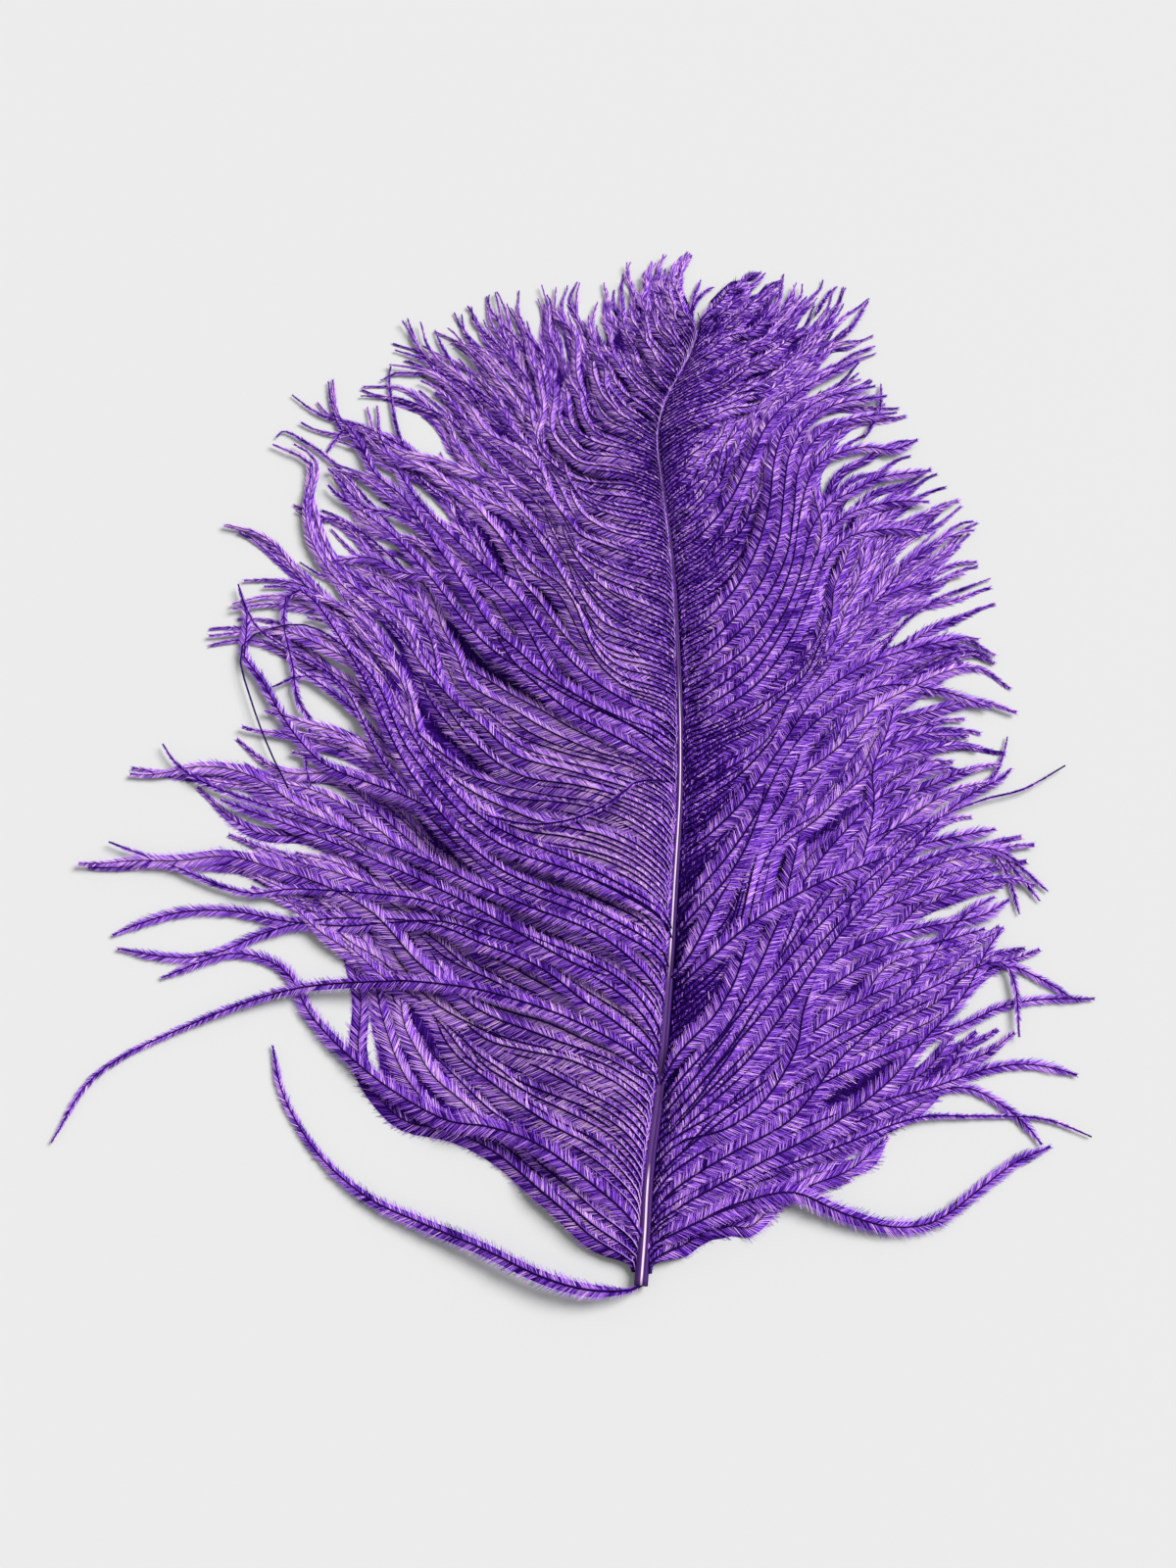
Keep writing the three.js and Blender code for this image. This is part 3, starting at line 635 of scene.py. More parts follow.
def lock_curves(locks, count):
    """The middle barb of each lock, as count places from the shaft to its tip."""
    return np.array([smooth_route([shaft_pixel(row)] + list(points), count) for row, points in locks])


def between_locks(locks, curves, rows):
    """For barbs from these rows: their fair routes, places among the locks, and the lock below each."""
    lock_rows = np.array([row for row, _ in locks], float)
    place = np.interp(-rows, -lock_rows, np.arange(len(locks)))
    low = np.minimum(place.astype(int), len(locks) - 2)
    fraction = (place - low)[:, None, None]
    return (1 - fraction) * curves[low] + fraction * curves[low + 1], place, low


def vane_routes(side_name, locks, rows, rng):
    """The barbs of one vane, in pixels: (barbs, stations, 2), and the lock that each belongs to."""
    curves = lock_curves(locks, len(FINE_ALONG))
    fair, place, low = between_locks(locks, curves, rows)
    crossings = rng.choice((-1, 0, 1), len(rows), p=(CROSSING / 2, 1 - CROSSING, CROSSING / 2))
    nearest = np.clip(np.round(place).astype(int) + crossings, 0, len(locks) - 1)
    lock = curves[nearest]
    tangent = unit(np.gradient(lock, axis=1))
    beside = np.stack((-tangent[..., 1], tangent[..., 0]), axis=-1)
    # Outside, a barb closes in on the middle of its lock and keeps a small place of its own beside it.
    turn = np.sign(np.sum((curves[low + 1] - curves[low]) * beside, axis=(1, 2)))
    own = turn * np.clip(place - nearest, -0.5, 0.5) * LOCK_SPREAD + rng.normal(0, OWN_SPREAD, len(rows))
    fork = rng.normal(0, FORK, len(rows))[:, None] * smoothstep(*FORK_ALONG, FINE_ALONG)
    # Short barbs, near the tip of the plume, swing and part less.
    calm = np.clip(distances(lock)[:, -1:] / LONG_BARB, CALMEST, 1.0)
    own = (own[:, None] * (1 - GATHERING * FINE_ALONG ** 2) + fork) * calm
    closeness = rng.uniform(*CLOSING[side_name], len(rows))[:, None]
    closeness = (smoothstep(*CLOSING_ALONG, FINE_ALONG) * closeness)[..., None]
    routes = fair * (1 - closeness) + (lock + own[..., None] * beside) * closeness
    shared = smooth_noise(rng, len(locks), FINE_ALONG, LOCK_SWINGS)[nearest]
    swing = OWN_SWING * smooth_noise(rng, len(rows), FINE_ALONG, OWN_SWINGS) + LOCK_SWING * shared
    routes = routes + (swing * calm * smoothstep(*SWING_ALONG, FINE_ALONG))[..., None] * beside
    reach = rng.uniform(*OTHER_REACH, len(rows))
    reach = np.where(np.abs(place - nearest) < MIDDLE_OF_LOCK, 1.0, reach)
    ends = (reach * len(FINE_ALONG)).astype(int)
    routes = np.array([evenly(route[:end], STATIONS) for route, end in zip(routes, ends)])
    return beside_shaft(routes, SIDES[side_name]), nearest


def climbed(start, crest, travelled):
    """The height of barbs that climb from the shaft to their crest."""
    return start + (crest - start) * (1 - np.exp(-travelled / CREST_REACH))


def vane_heights(routes, rows, locks_of, lock_count, rng):
    """The heights of the barbs of a vane, and how far each lies over or under its neighbours."""
    barbs = (len(rows), 1)
    travelled = distances(routes)
    heights = climbed(shaft_height(rows)[:, None], crest_height(rows)[:, None], travelled)
    fall = smoothstep(*FALL_ALONG, ALONG)
    heights = heights * (1 - fall) + TIP_HEIGHT * fall
    lock_lift = LOCK_LIFT * smooth_noise(rng, lock_count, ALONG, LOCK_LIFT_SWINGS)[locks_of]
    swings = smooth_noise(rng, len(rows), ALONG, BARB_LIFT_SWINGS)
    barb_lift = BARB_LIFT * (swings + STEADY_LIFT * rng.normal(size=barbs))
    dives = rng.uniform(size=barbs) < DIVING_SHARE
    beyond = travelled - rng.uniform(*DIVE_FROM, barbs) * MM
    dive = dives * DIVE * smoothstep(0, DIVE_LENGTH, beyond) * faded(DIVE_FADE, ALONG)
    lift = (lock_lift + barb_lift) * smoothstep(*LIFT_ALONG, ALONG) - dive
    return np.maximum(heights + lift, LOWEST_BARB), lift


# ---- barbs as geometry ----

RAMUS_SLOT = 0  # the place of each material in a piece of barbs
BARBULE_SLOT = 1
BAKE_MAP = "OFBake"  # across it, a part's root to its tip; up it, tone
MAP_SLIVER = 0.01  # how much of the map's height a part has, so that it isn't a line there
RAMUS_U = (0.02, 0.98)
WEB_U = (0.12, 0.6)
BARBULE_U = (0.03, 0.97)
TONE_LIMITS = (0.02, 0.97)

RAMUS_WIDTH = 0.74 * MM
# Shares of a ramus's half width: how far its ridge lies over and beside its middle, and its edges under it
RIDGE_HEIGHT = 0.8
RIDGE_ASIDE = 0.35
EDGE_DEPTH = 0.5
# The ramus facet on this side is given the painted highlight
LIT_SIDE = np.array((0.85, 0.5, 0.0))  # towards the light, along the table

WEB_SHARE = 0.8  # of the barbules' reach
WEB_DEPTH = 0.12 * MM  # under the middle of the ramus
WEB_DROOP = 0.85  # fall over run
# The webs' darker tone is painted shade, where the barbules above shade them
WEB_SHADE = {"left": 0.46, "right": 0.38}  # how much darker than the barbules it is, in tone

BARBULE_SPACING = 0.295 * MM
BARBULE_LENGTH = 4.2 * MM
BARBULE_WIDTH = 0.21 * MM
BARBULE_ROOT_HALF = 0.5  # of its width
BARBULE_TIP_HALF = 0.15
BARBULE_DROOP = 0.42  # fall over length
SHORTEST_BARBULE = 0.3 * MM  # shorter ones aren't drawn
FEWEST_BARBULES = 4
FIRST_BARBULE = 0.008  # of the way along the barb
BARBULE_SPAN = 0.99  # the part of a barb that has barbules

# How much single barbules differ
LENGTH_SPREAD = (0.75, 1.12)
ANGLE_SPREAD = 0.10
DROOP_SPREAD = 0.15
BLADE_TONE = 0.2
TWIST_SPREAD = 0.4  # radians

# And how much the small tufts in which neighbours stick together do
TUFT_SIZE = 3  # barbules
TUFT_ANGLE = 0.12
TUFT_DROOP = 0.3
TUFT_TONE = 0.17
# A barb's first tuft starts early by a few barbules. The strides keep the numbers of tufts apart.
TUFT_SHIFT = 13
TUFT_SHIFT_RANGE = 7
TUFT_STRIDE = 7919
BARB_STRIDE = 104729
SIDE_STRIDE = 31


def barb_frames(points):
    """Along, beside (level) and over directions at each station of each barb."""
    along = unit(np.gradient(points, axis=1))
    beside = unit(np.cross(along, (0.0, 0.0, 1.0)))
    over = np.cross(beside, along)
    return along, beside, over


def at_stations(values, barb, position):
    """values (barbs, stations, ...) read at fractional station positions of the named barbs."""
    low = np.minimum(position.astype(int), values.shape[1] - 2)
    part = position - low
    part = part.reshape(part.shape + (1,) * (values.ndim - 2))
    return values[barb, low] * (1 - part) + values[barb, low + 1] * part


def strip_faces(barbs, stations):
    """The faces of a strip along each barb, two vertices wide."""
    index = np.arange(barbs * stations * 2).reshape(barbs, stations, 2)
    corners = (index[:, :-1, 0], index[:, :-1, 1], index[:, 1:, 1], index[:, 1:, 0])
    return np.stack(corners, axis=-1).reshape(-1, 4)


class Blades:
    """Gathers the many small parts of a piece, and makes one mesh of them with a bake map."""

    def __init__(self):
        self.vertices = []
        self.maps = []
        self.faces = []  # (corner numbers, material number), with one face a row
        self.count = 0

    def add(self, vertices, maps, faces, material):
        """vertices (..., 3) and their map places (..., 2); each array of faces holds their numbers."""
        vertices = vertices.reshape(-1, 3)
        self.vertices.append(vertices)
        self.maps.append(maps.reshape(-1, 2))
        self.faces += [(corners + self.count, material) for corners in faces]
        self.count += len(vertices)

    def mesh(self, name):
        corners = np.concatenate([corners.ravel() for corners, _ in self.faces])
        sizes = np.concatenate([np.full(len(corners), corners.shape[1]) for corners, _ in self.faces])
        slots = np.concatenate([np.full(len(corners), material) for corners, material in self.faces])
        maps = np.concatenate(self.maps)
        mesh = bpy.data.meshes.new(name)
        mesh.vertices.add(self.count)
        mesh.vertices.foreach_set("co", np.concatenate(self.vertices).astype(np.float32).ravel())
        mesh.loops.add(len(corners))
        mesh.loops.foreach_set("vertex_index", corners.astype(np.int32))
        mesh.polygons.add(len(sizes))
        mesh.polygons.foreach_set("loop_start", (np.cumsum(sizes) - sizes).astype(np.int32))
        mesh.polygons.foreach_set("material_index", slots.astype(np.int32))
        mesh.polygons.foreach_set("use_smooth", np.ones(len(sizes), bool))
        layer = mesh.uv_layers.new(name=BAKE_MAP)
        layer.data.foreach_set("uv", maps[corners].astype(np.float32).ravel())
        mesh.update(calc_edges=True)
        return mesh


def add_rami(blades, points, widths, tones, lit_steps):
    """A ridge along each barb: a dark facet and, towards the light, a lighter one whose lightness is a
    painted highlight.
    """
    barbs, stations, _ = points.shape
    _, beside, over = barb_frames(points)
    lit = np.sign(np.sum(beside * LIT_SIDE, axis=2, keepdims=True))
    lit[lit == 0] = 1
    half = widths[..., None] / 2
    shaded_edge = points - lit * beside * half - over * half * EDGE_DEPTH
    ridge = points + lit * beside * half * RIDGE_ASIDE + over * half * RIDGE_HEIGHT
    lit_edge = points + lit * beside * half - over * half * EDGE_DEPTH
    u = np.broadcast_to(np.linspace(*RAMUS_U, stations)[None, :, None], (barbs, stations, 2))
    for first, second, facet_tones in ((shaded_edge, ridge, tones), (ridge, lit_edge, tones + lit_steps)):
        v = np.stack((facet_tones, facet_tones + MAP_SLIVER), axis=2)
        vertices = np.stack((first, second), axis=2)
        blades.add(vertices, np.stack((u, v), axis=-1), [strip_faces(barbs, stations)], RAMUS_SLOT)


def add_webs(blades, points, reaches, tones, droops):
    """The mass of the finer barbules: a thin sheet down both sides of each barb, under its larger ones."""
    barbs, stations, _ = points.shape
    _, beside, over = barb_frames(points)
    root = points - over * WEB_DEPTH
    u = np.broadcast_to(WEB_U, (barbs, stations, 2))
    maps = np.stack((u, np.stack((tones, tones + MAP_SLIVER), axis=2)), axis=-1)
    for side in SIDES.values():
        edge = root + (side * beside - droops[..., None] * over) * reaches[..., None]
        vertices = np.stack((root, edge), axis=2)
        vertices[..., 2] = np.maximum(vertices[..., 2], FLOOR_CLEARANCE)
        blades.add(vertices, maps, [strip_faces(barbs, stations)], BARBULE_SLOT)


def add_barbules(blades, points, lengths, tones, openness, droops, spacing, rng):
    """Two rows of fine blades along each barb. lengths, tones, openness, droops: (barbs, stations)."""
    barbs, stations, _ = points.shape
    along, beside, over = barb_frames(points)
    barb_length = np.linalg.norm(np.diff(points, axis=1), axis=2).sum(axis=1)
    counts = np.maximum((barb_length / spacing).astype(int), FEWEST_BARBULES)
    barb = np.repeat(np.arange(barbs), counts)
    order = np.arange(len(barb)) - np.repeat(np.cumsum(counts) - counts, counts)
    root_u, tip_u = BARBULE_U
    for side in SIDES.values():
        fraction = (order + rng.uniform(0.0, 1.0, len(barb))) / counts[barb]
        position = (FIRST_BARBULE + BARBULE_SPAN * fraction) * (stations - 1)
        root = at_stations(points, barb, position)
        ahead = unit(at_stations(along, barb, position))
        aside = unit(at_stations(beside, barb, position)) * side
        up = unit(at_stations(over, barb, position))
        length = at_stations(lengths, barb, position) * rng.uniform(*LENGTH_SPREAD, len(barb))
        tuft = (order + (TUFT_SHIFT * barb) % TUFT_SHIFT_RANGE) // TUFT_SIZE * TUFT_STRIDE
        tuft = tuft + barb * BARB_STRIDE + side * SIDE_STRIDE
        angle = at_stations(openness, barb, position)
        angle = angle * (1 + TUFT_ANGLE * hashed(tuft, 1) + rng.normal(0, ANGLE_SPREAD, len(barb)))
        droop = at_stations(droops, barb, position)
        droop = droop * (1 + TUFT_DROOP * hashed(tuft, 2) + rng.normal(0, DROOP_SPREAD, len(barb)))
        tone = at_stations(tones, barb, position) + TUFT_TONE * hashed(tuft, 3)
        tone = np.clip(tone + rng.normal(0, BLADE_TONE, len(barb)), *TONE_LIMITS)
        twist = rng.normal(0, TWIST_SPREAD, len(barb))[:, None]
        direction = np.cos(angle)[:, None] * ahead + np.sin(angle)[:, None] * aside
        across = np.cross(direction, up)
        across = across * np.cos(twist) + up * np.sin(twist)
        tip = root + length[:, None] * (direction - droop[:, None] * up)
        corners = []
        for place, half in ((root, BARBULE_ROOT_HALF), (tip, BARBULE_TIP_HALF)):
            corners.append(place - across * half * BARBULE_WIDTH)
            corners.append(place + across * half * BARBULE_WIDTH)
        long_enough = length > SHORTEST_BARBULE
        vertices = np.stack(corners, axis=1)[long_enough]
        vertices[..., 2] = np.maximum(vertices[..., 2], FLOOR_CLEARANCE)
        tone = tone[long_enough]
        u = np.broadcast_to((root_u, root_u, tip_u, tip_u), (len(tone), 4))
        v = tone[:, None] + np.array((0.0, MAP_SLIVER, 0.0, MAP_SLIVER))
        faces = np.arange(len(tone))[:, None] * 4 + (0, 1, 3, 2)
        blades.add(vertices, np.stack((u, v), axis=-1), [faces], BARBULE_SLOT)


# ---- materials ----

SPECULAR_TINT = (205, 150, 255)
# Barbules and webs are darker towards their roots at the ramus: painted shade
ROOT_SHADE_END = 0.4  # the part of a barbule that its root shade covers
# The light end of the ramus tones is the painted highlight of the lit facets
RAMUS_TONES = (
    (0.0, (24, 4, 62)), (0.4, (40, 10, 92)), (0.6, (160, 108, 210)), (1.0, (250, 215, 252)),
)
BARBULE_TONES = (
    (0.0, (24, 4, 66)), (0.3, (78, 26, 156)), (0.55, (143, 80, 222)), (0.8, (208, 146, 252)),
    (1.0, (246, 198, 254)),
)

# Round the shaft from below: its dark sides, a lilac edge on the left and the pale groove on top, pale
# partly from its keratin and partly as a painted highlight.
SHAFT_SIDE_TONES = (
    (0.0, (28, 8, 62)), (0.30, (32, 10, 70)), (0.35, (86, 50, 114)), (0.39, (68, 32, 100)),
    (0.60, (74, 38, 110)), (0.68, (34, 10, 76)), (1.0, (28, 8, 62)),
)
GROOVE_MASK = ((0.47, 0.0), (0.486, 1.0), (0.516, 1.0), (0.532, 0.0))
GROOVE_COLOUR = (252, 226, 246)
# Along the shaft from its foot: where the groove catches the light, painted on as a highlight.
GROOVE_HIGHLIGHT = (
    (0.0, 0.4), (0.012, 0.95), (0.105, 0.85), (0.125, 0.04), (0.31, 0.05), (0.345, 0.95), (0.57, 0.95),
    (0.62, 0.06), (0.75, 0.0), (1.0, 0.0),
)
GRAIN_SCALE = (60.0, 26.0, 1.0)  # along the shaft and round it
GRAIN_DETAIL = 4.0
GRAIN_SHADE = (0.72, 1.2)  # what it multiplies the colour by
GRAIN_BUMP = 0.25
GRAIN_DEPTH = 0.2 * MM
FLOOR_COLOUR = (207, 207, 207)


def linear(red, green, blue):
    """A colour given as it looks on screen, 0 to 255, in Blender's linear values."""
    values = [c / 255 for c in (red, green, blue)]
    return tuple(c / 12.92 if c <= 0.04045 else ((c + 0.055) / 1.055) ** 2.4 for c in values) + (1.0,)


def grey(value):
    return (value, value, value, 1.0)


def new_material(name, roughness, specular):
    """The material and its shader."""
    material = bpy.data.materials.new(name)
    material.use_nodes = True
    shader = material.node_tree.nodes["Principled BSDF"]
    shader.inputs["Roughness"].default_value = roughness
    shader.inputs["Specular IOR Level"].default_value = specular
    return material, shader


def map_place(nodes, links):
    """The place on the bake map: as a vector, across and up."""
    place = nodes.new("ShaderNodeUVMap")
    place.uv_map = BAKE_MAP
    parts = nodes.new("ShaderNodeSeparateXYZ")
    links.new(place.outputs["UV"], parts.inputs[0])
    return place.outputs["UV"], parts.outputs["X"], parts.outputs["Y"]


def ramp(nodes, links, value, stops):
    """The colour that a value has on a ramp of (position, colour) stops."""
    node = nodes.new("ShaderNodeValToRGB")
    while len(node.color_ramp.elements) < len(stops):
        node.color_ramp.elements.new(0.5)
    for element, (position, colour) in zip(node.color_ramp.elements, stops):
        element.position = position
        element.color = colour
    links.new(value, node.inputs["Fac"])
    return node.outputs["Color"]


def colour_ramp(nodes, links, value, tones):
    return ramp(nodes, links, value, [(position, linear(*colour)) for position, colour in tones])


def grey_ramp(nodes, links, value, levels):
    return ramp(nodes, links, value, [(position, grey(level)) for position, level in levels])


def multiplied(nodes, links, first, second):
    mix = nodes.new("ShaderNodeMix")
    mix.data_type = "RGBA"
    mix.blend_type = "MULTIPLY"
    mix.inputs["Factor"].default_value = 1.0
    links.new(first, mix.inputs["A"])
    links.new(second, mix.inputs["B"])
    return mix.outputs["Result"]


def dye_and_painted_light_material(name, tones, root_shade, roughness, specular):
    """Colour from the piece's own map: tone goes up it, and the root of a barbule is the darker end, with
    painted shade.
    """
    material, shader = new_material(name, roughness, specular)
    nodes = material.node_tree.nodes
    links = material.node_tree.links
    shader.inputs["Specular Tint"].default_value = linear(*SPECULAR_TINT)
    _, across_map, up_map = map_place(nodes, links)
    shade = nodes.new("ShaderNodeMapRange")
    shade.inputs["From Max"].default_value = ROOT_SHADE_END
    shade.inputs["To Min"].default_value = root_shade
    links.new(across_map, shade.inputs["Value"])
    dye_and_painted_light = colour_ramp(nodes, links, up_map, tones)
    links.new(multiplied(nodes, links, dye_and_painted_light, shade.outputs["Result"]), shader.inputs["Base Color"])
    return material


def shaft_material():
    """The shaft's map runs along it and, from below, once round it."""
    material, shader = new_material("shaft_keratin", roughness=0.38, specular=0.08)
    nodes = material.node_tree.nodes
    links = material.node_tree.links
    place, along_shaft, round_shaft = map_place(nodes, links)
    # The pale groove, partly pale keratin and partly a painted highlight where it catches the light
    strength = nodes.new("ShaderNodeMath")
    strength.operation = "MULTIPLY"
    links.new(grey_ramp(nodes, links, round_shaft, GROOVE_MASK), strength.inputs[0])
    links.new(grey_ramp(nodes, links, along_shaft, GROOVE_HIGHLIGHT), strength.inputs[1])
    dye_and_painted_light = nodes.new("ShaderNodeMix")
    dye_and_painted_light.data_type = "RGBA"
    dye_and_painted_light.inputs["B"].default_value = linear(*GROOVE_COLOUR)
    links.new(strength.outputs["Value"], dye_and_painted_light.inputs["Factor"])
    links.new(colour_ramp(nodes, links, round_shaft, SHAFT_SIDE_TONES), dye_and_painted_light.inputs["A"])
    grain_place = nodes.new("ShaderNodeMapping")
    grain_place.inputs["Scale"].default_value = GRAIN_SCALE
    links.new(place, grain_place.inputs["Vector"])
    grain = nodes.new("ShaderNodeTexNoise")
    grain.inputs["Scale"].default_value = 1.0
    grain.inputs["Detail"].default_value = GRAIN_DETAIL
    links.new(grain_place.outputs["Vector"], grain.inputs["Vector"])
    mottle = nodes.new("ShaderNodeMapRange")
    mottle.inputs["To Min"].default_value, mottle.inputs["To Max"].default_value = GRAIN_SHADE
    links.new(grain.outputs["Fac"], mottle.inputs["Value"])
    mottled = multiplied(nodes, links, dye_and_painted_light.outputs["Result"], mottle.outputs["Result"])
    links.new(mottled, shader.inputs["Base Color"])
    bump = nodes.new("ShaderNodeBump")
    bump.inputs["Strength"].default_value = GRAIN_BUMP
    bump.inputs["Distance"].default_value = GRAIN_DEPTH
    links.new(grain.outputs["Fac"], bump.inputs["Height"])
    links.new(bump.outputs["Normal"], shader.inputs["Normal"])
    return material


# In the order of RAMUS_SLOT and BARBULE_SLOT
barb_materials = (
    dye_and_painted_light_material("barb_shafts", RAMUS_TONES, root_shade=1.0, roughness=0.4, specular=0.08),
    dye_and_painted_light_material("barbules", BARBULE_TONES, root_shade=0.4, roughness=0.5, specular=0.03),
)


# ---- the pieces ----

def link(name, mesh, materials):
    piece = bpy.data.objects.new(name, mesh)
    for material in materials:
        mesh.materials.append(material)
    bpy.context.scene.collection.objects.link(piece)
    return piece


def finish_barbs(name, blades, node):
    """Makes a piece of the blades, in place of a node of the CAD model."""
    piece = link(name, blades.mesh(name), barb_materials)
    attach(piece, "root")
    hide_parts(node)


# ---- the vanes ----

VANE_PIECES = 4

# How long the barbules are
GROWTH_REACH = {"left": 13 * MM, "right": 26 * MM}  # the distance in which they grow long
GROWTH_REACH_MOST = 0.3  # of the barb's length
BARBULE_GROWTH = (0.3, 0.1, 1.0)  # its places are shares of the reach
BARB_TIP_FADE = (0.7, 0.83, 1.0)
PLUME_TIP_FADE = (0.42, 0.5, 0.9)  # its places are shares of the way up the plume

# The angle between barbules and their barb, in radians
ROOT_OPENNESS = 0.84
HIGH_LOSS = 0.08  # what it loses high up the plume
HIGH_PART = (0.1, 0.5)  # of the way up the plume
EARLY_CLOSING = 0.16  # what it loses along a barb high up the plume, in two stretches
EARLY_CLOSING_ALONG = (0.0, 0.4)
LATE_CLOSING = 0.27
LATE_CLOSING_ALONG = (0.45, 0.95)
FOOT_CLOSING = 0.5  # the share of that which it loses at the foot of the plume

DROOP_FADE = (0.6, 0.4, 0.8)  # the droop that they lose where the barb lies on the table

RAMUS_PLUME_LOSS = 0.35  # the share of its width that a ramus loses up the plume
RAMUS_TAPER = 0.6  # and along the barb

RAMUS_TONE = 0.12  # of its dark facet
RAMUS_TONE_SPREAD = 0.07
RAMUS_TONE_LIMITS = (0.0, 0.4)
# The lit facet's lighter tone is a painted highlight
LIT_STEP = 0.6  # how much lighter its lit facet is, in tone, where it is at its brightest
LIT_NEAR = {"left": 1.0, "right": 0.1}  # the share of it beside the shaft
LIT_FAR_LOW = {"left": 0.25, "right": 0.5}  # the share of it further out, low down on the plume
LIT_FAR_HIGH = {"left": 0.65, "right": 0.5}  # and high up
LIT_PART = (0.25, 0.6)  # of the way up the plume
LIT_REACH = 24 * MM

VANE_TONE = 0.60
BARB_TONE_SPREAD = 0.06
PATCH_TONE = 0.08  # how much lighter and darker the patches of dye are
LONG_PATCHES = 2.0  # of them along a barb
SHORT_PATCHES = 7.0
SIDE_TONE = {"left": 0.09, "right": -0.02}
# Painted shade in the valley beside the shaft, strongest round the middle row on the right
VALLEY_SHADE = {"left": 0.3, "right": 0.10}  # beside the shaft
VALLEY_MIDDLE_SHADE = {"left": 0.0, "right": 0.26}  # what is added round the middle row
VALLEY_WIDTH = {"left": 8 * MM, "right": 22 * MM}
MIDDLE_ROW = 1010
MIDDLE_HEIGHT = 260  # rows
# A painted highlight on the left vane's crest
CREST_LIGHT = {"left": 0.15, "right": 0.0}  # where the left vane turns to the light, round the middle row
CREST_PLACE = 24 * MM  # from the shaft
CREST_WIDTH = 14 * MM
# Barbs that lie lower are darker with painted shade
LAYER_SHADE = 0.05  # how much darker a barb is for each BARB_LIFT that it lies lower
LAYER_LIMITS = (-3, 2)  # the lifts that count, in BARB_LIFTs

# The outer barbs lie under the others near the shaft, bare, and come up among them further out.
OUTER_STEP = 3  # there is one for every third barb
OUTER_SHIFT = 3  # rows further up the shaft
OUTER_RISE_ALONG = (0.28, 0.55)
HIDDEN_LENGTH = 0.02  # of their barbules there, as a share
UNDER_HEIGHT = 0.8 * MM


def barbule_lengths(side_name, travelled, part):
    """Barbule length at each station: short beside the shaft, then full, and less at the barb's tip."""
    whole = travelled[:, -1:]
    reach = np.minimum(GROWTH_REACH[side_name], GROWTH_REACH_MOST * whole)
    full = (BARBULE_LENGTH * faded(PLUME_TIP_FADE, part))[:, None]
    return full * grown(BARBULE_GROWTH, travelled / reach) * faded(BARB_TIP_FADE, travelled / whole)


def barbule_openness(part):
    """The angle between barbules and their barb: less towards its tip, above all high up the plume."""
    high = smoothstep(*HIGH_PART, part)[:, None]
    closing = EARLY_CLOSING * smoothstep(*EARLY_CLOSING_ALONG, ALONG)
    closing = closing + LATE_CLOSING * smoothstep(*LATE_CLOSING_ALONG, ALONG)
    return ROOT_OPENNESS - closing * (FOOT_CLOSING + (1 - FOOT_CLOSING) * high) - HIGH_LOSS * high


def lit_facet_steps(side_name, travelled, part):
    """How much lighter, as a painted highlight, the lit facet of each ramus is, in tone, at each station.
    """
    near = bell(travelled, LIT_REACH)
    low, high = LIT_FAR_LOW[side_name], LIT_FAR_HIGH[side_name]
    far = low + (high - low) * smoothstep(*LIT_PART, part)[:, None]
    return LIT_STEP * (far + (LIT_NEAR[side_name] - far) * near)


def vane_tones(side_name, rows, travelled, rng):
    """Tone at each station: patches of lighter and darker dye, painted shade in the valley beside the shaft
    and a painted highlight on the left crest.
    """
    tones = VANE_TONE + BARB_TONE_SPREAD * rng.normal(size=(len(rows), 1))
    for patches in (LONG_PATCHES, SHORT_PATCHES):
        tones = tones + PATCH_TONE * smooth_noise(rng, len(rows), ALONG, patches)
    middle = np.exp(-((rows - MIDDLE_ROW) / MIDDLE_HEIGHT) ** 4)[:, None]
    valley = VALLEY_SHADE[side_name] + VALLEY_MIDDLE_SHADE[side_name] * middle
    crest = CREST_LIGHT[side_name] * middle * bell(travelled - CREST_PLACE, CREST_WIDTH)
    return tones + SIDE_TONE[side_name] - valley * bell(travelled, VALLEY_WIDTH[side_name]) + crest


def vane_rows():
    """The rows of all barbs of a vane, from its foot, and which of them are outer barbs."""
    rows = barb_rows()
    outer_rows = rows[1:-1:OUTER_STEP] - OUTER_SHIFT
    outer = np.concatenate((np.zeros(len(rows), bool), np.ones(len(outer_rows), bool)))
    rows = np.concatenate((rows, outer_rows))
    order = np.argsort(-rows, kind="stable")
    return rows[order], outer[order]


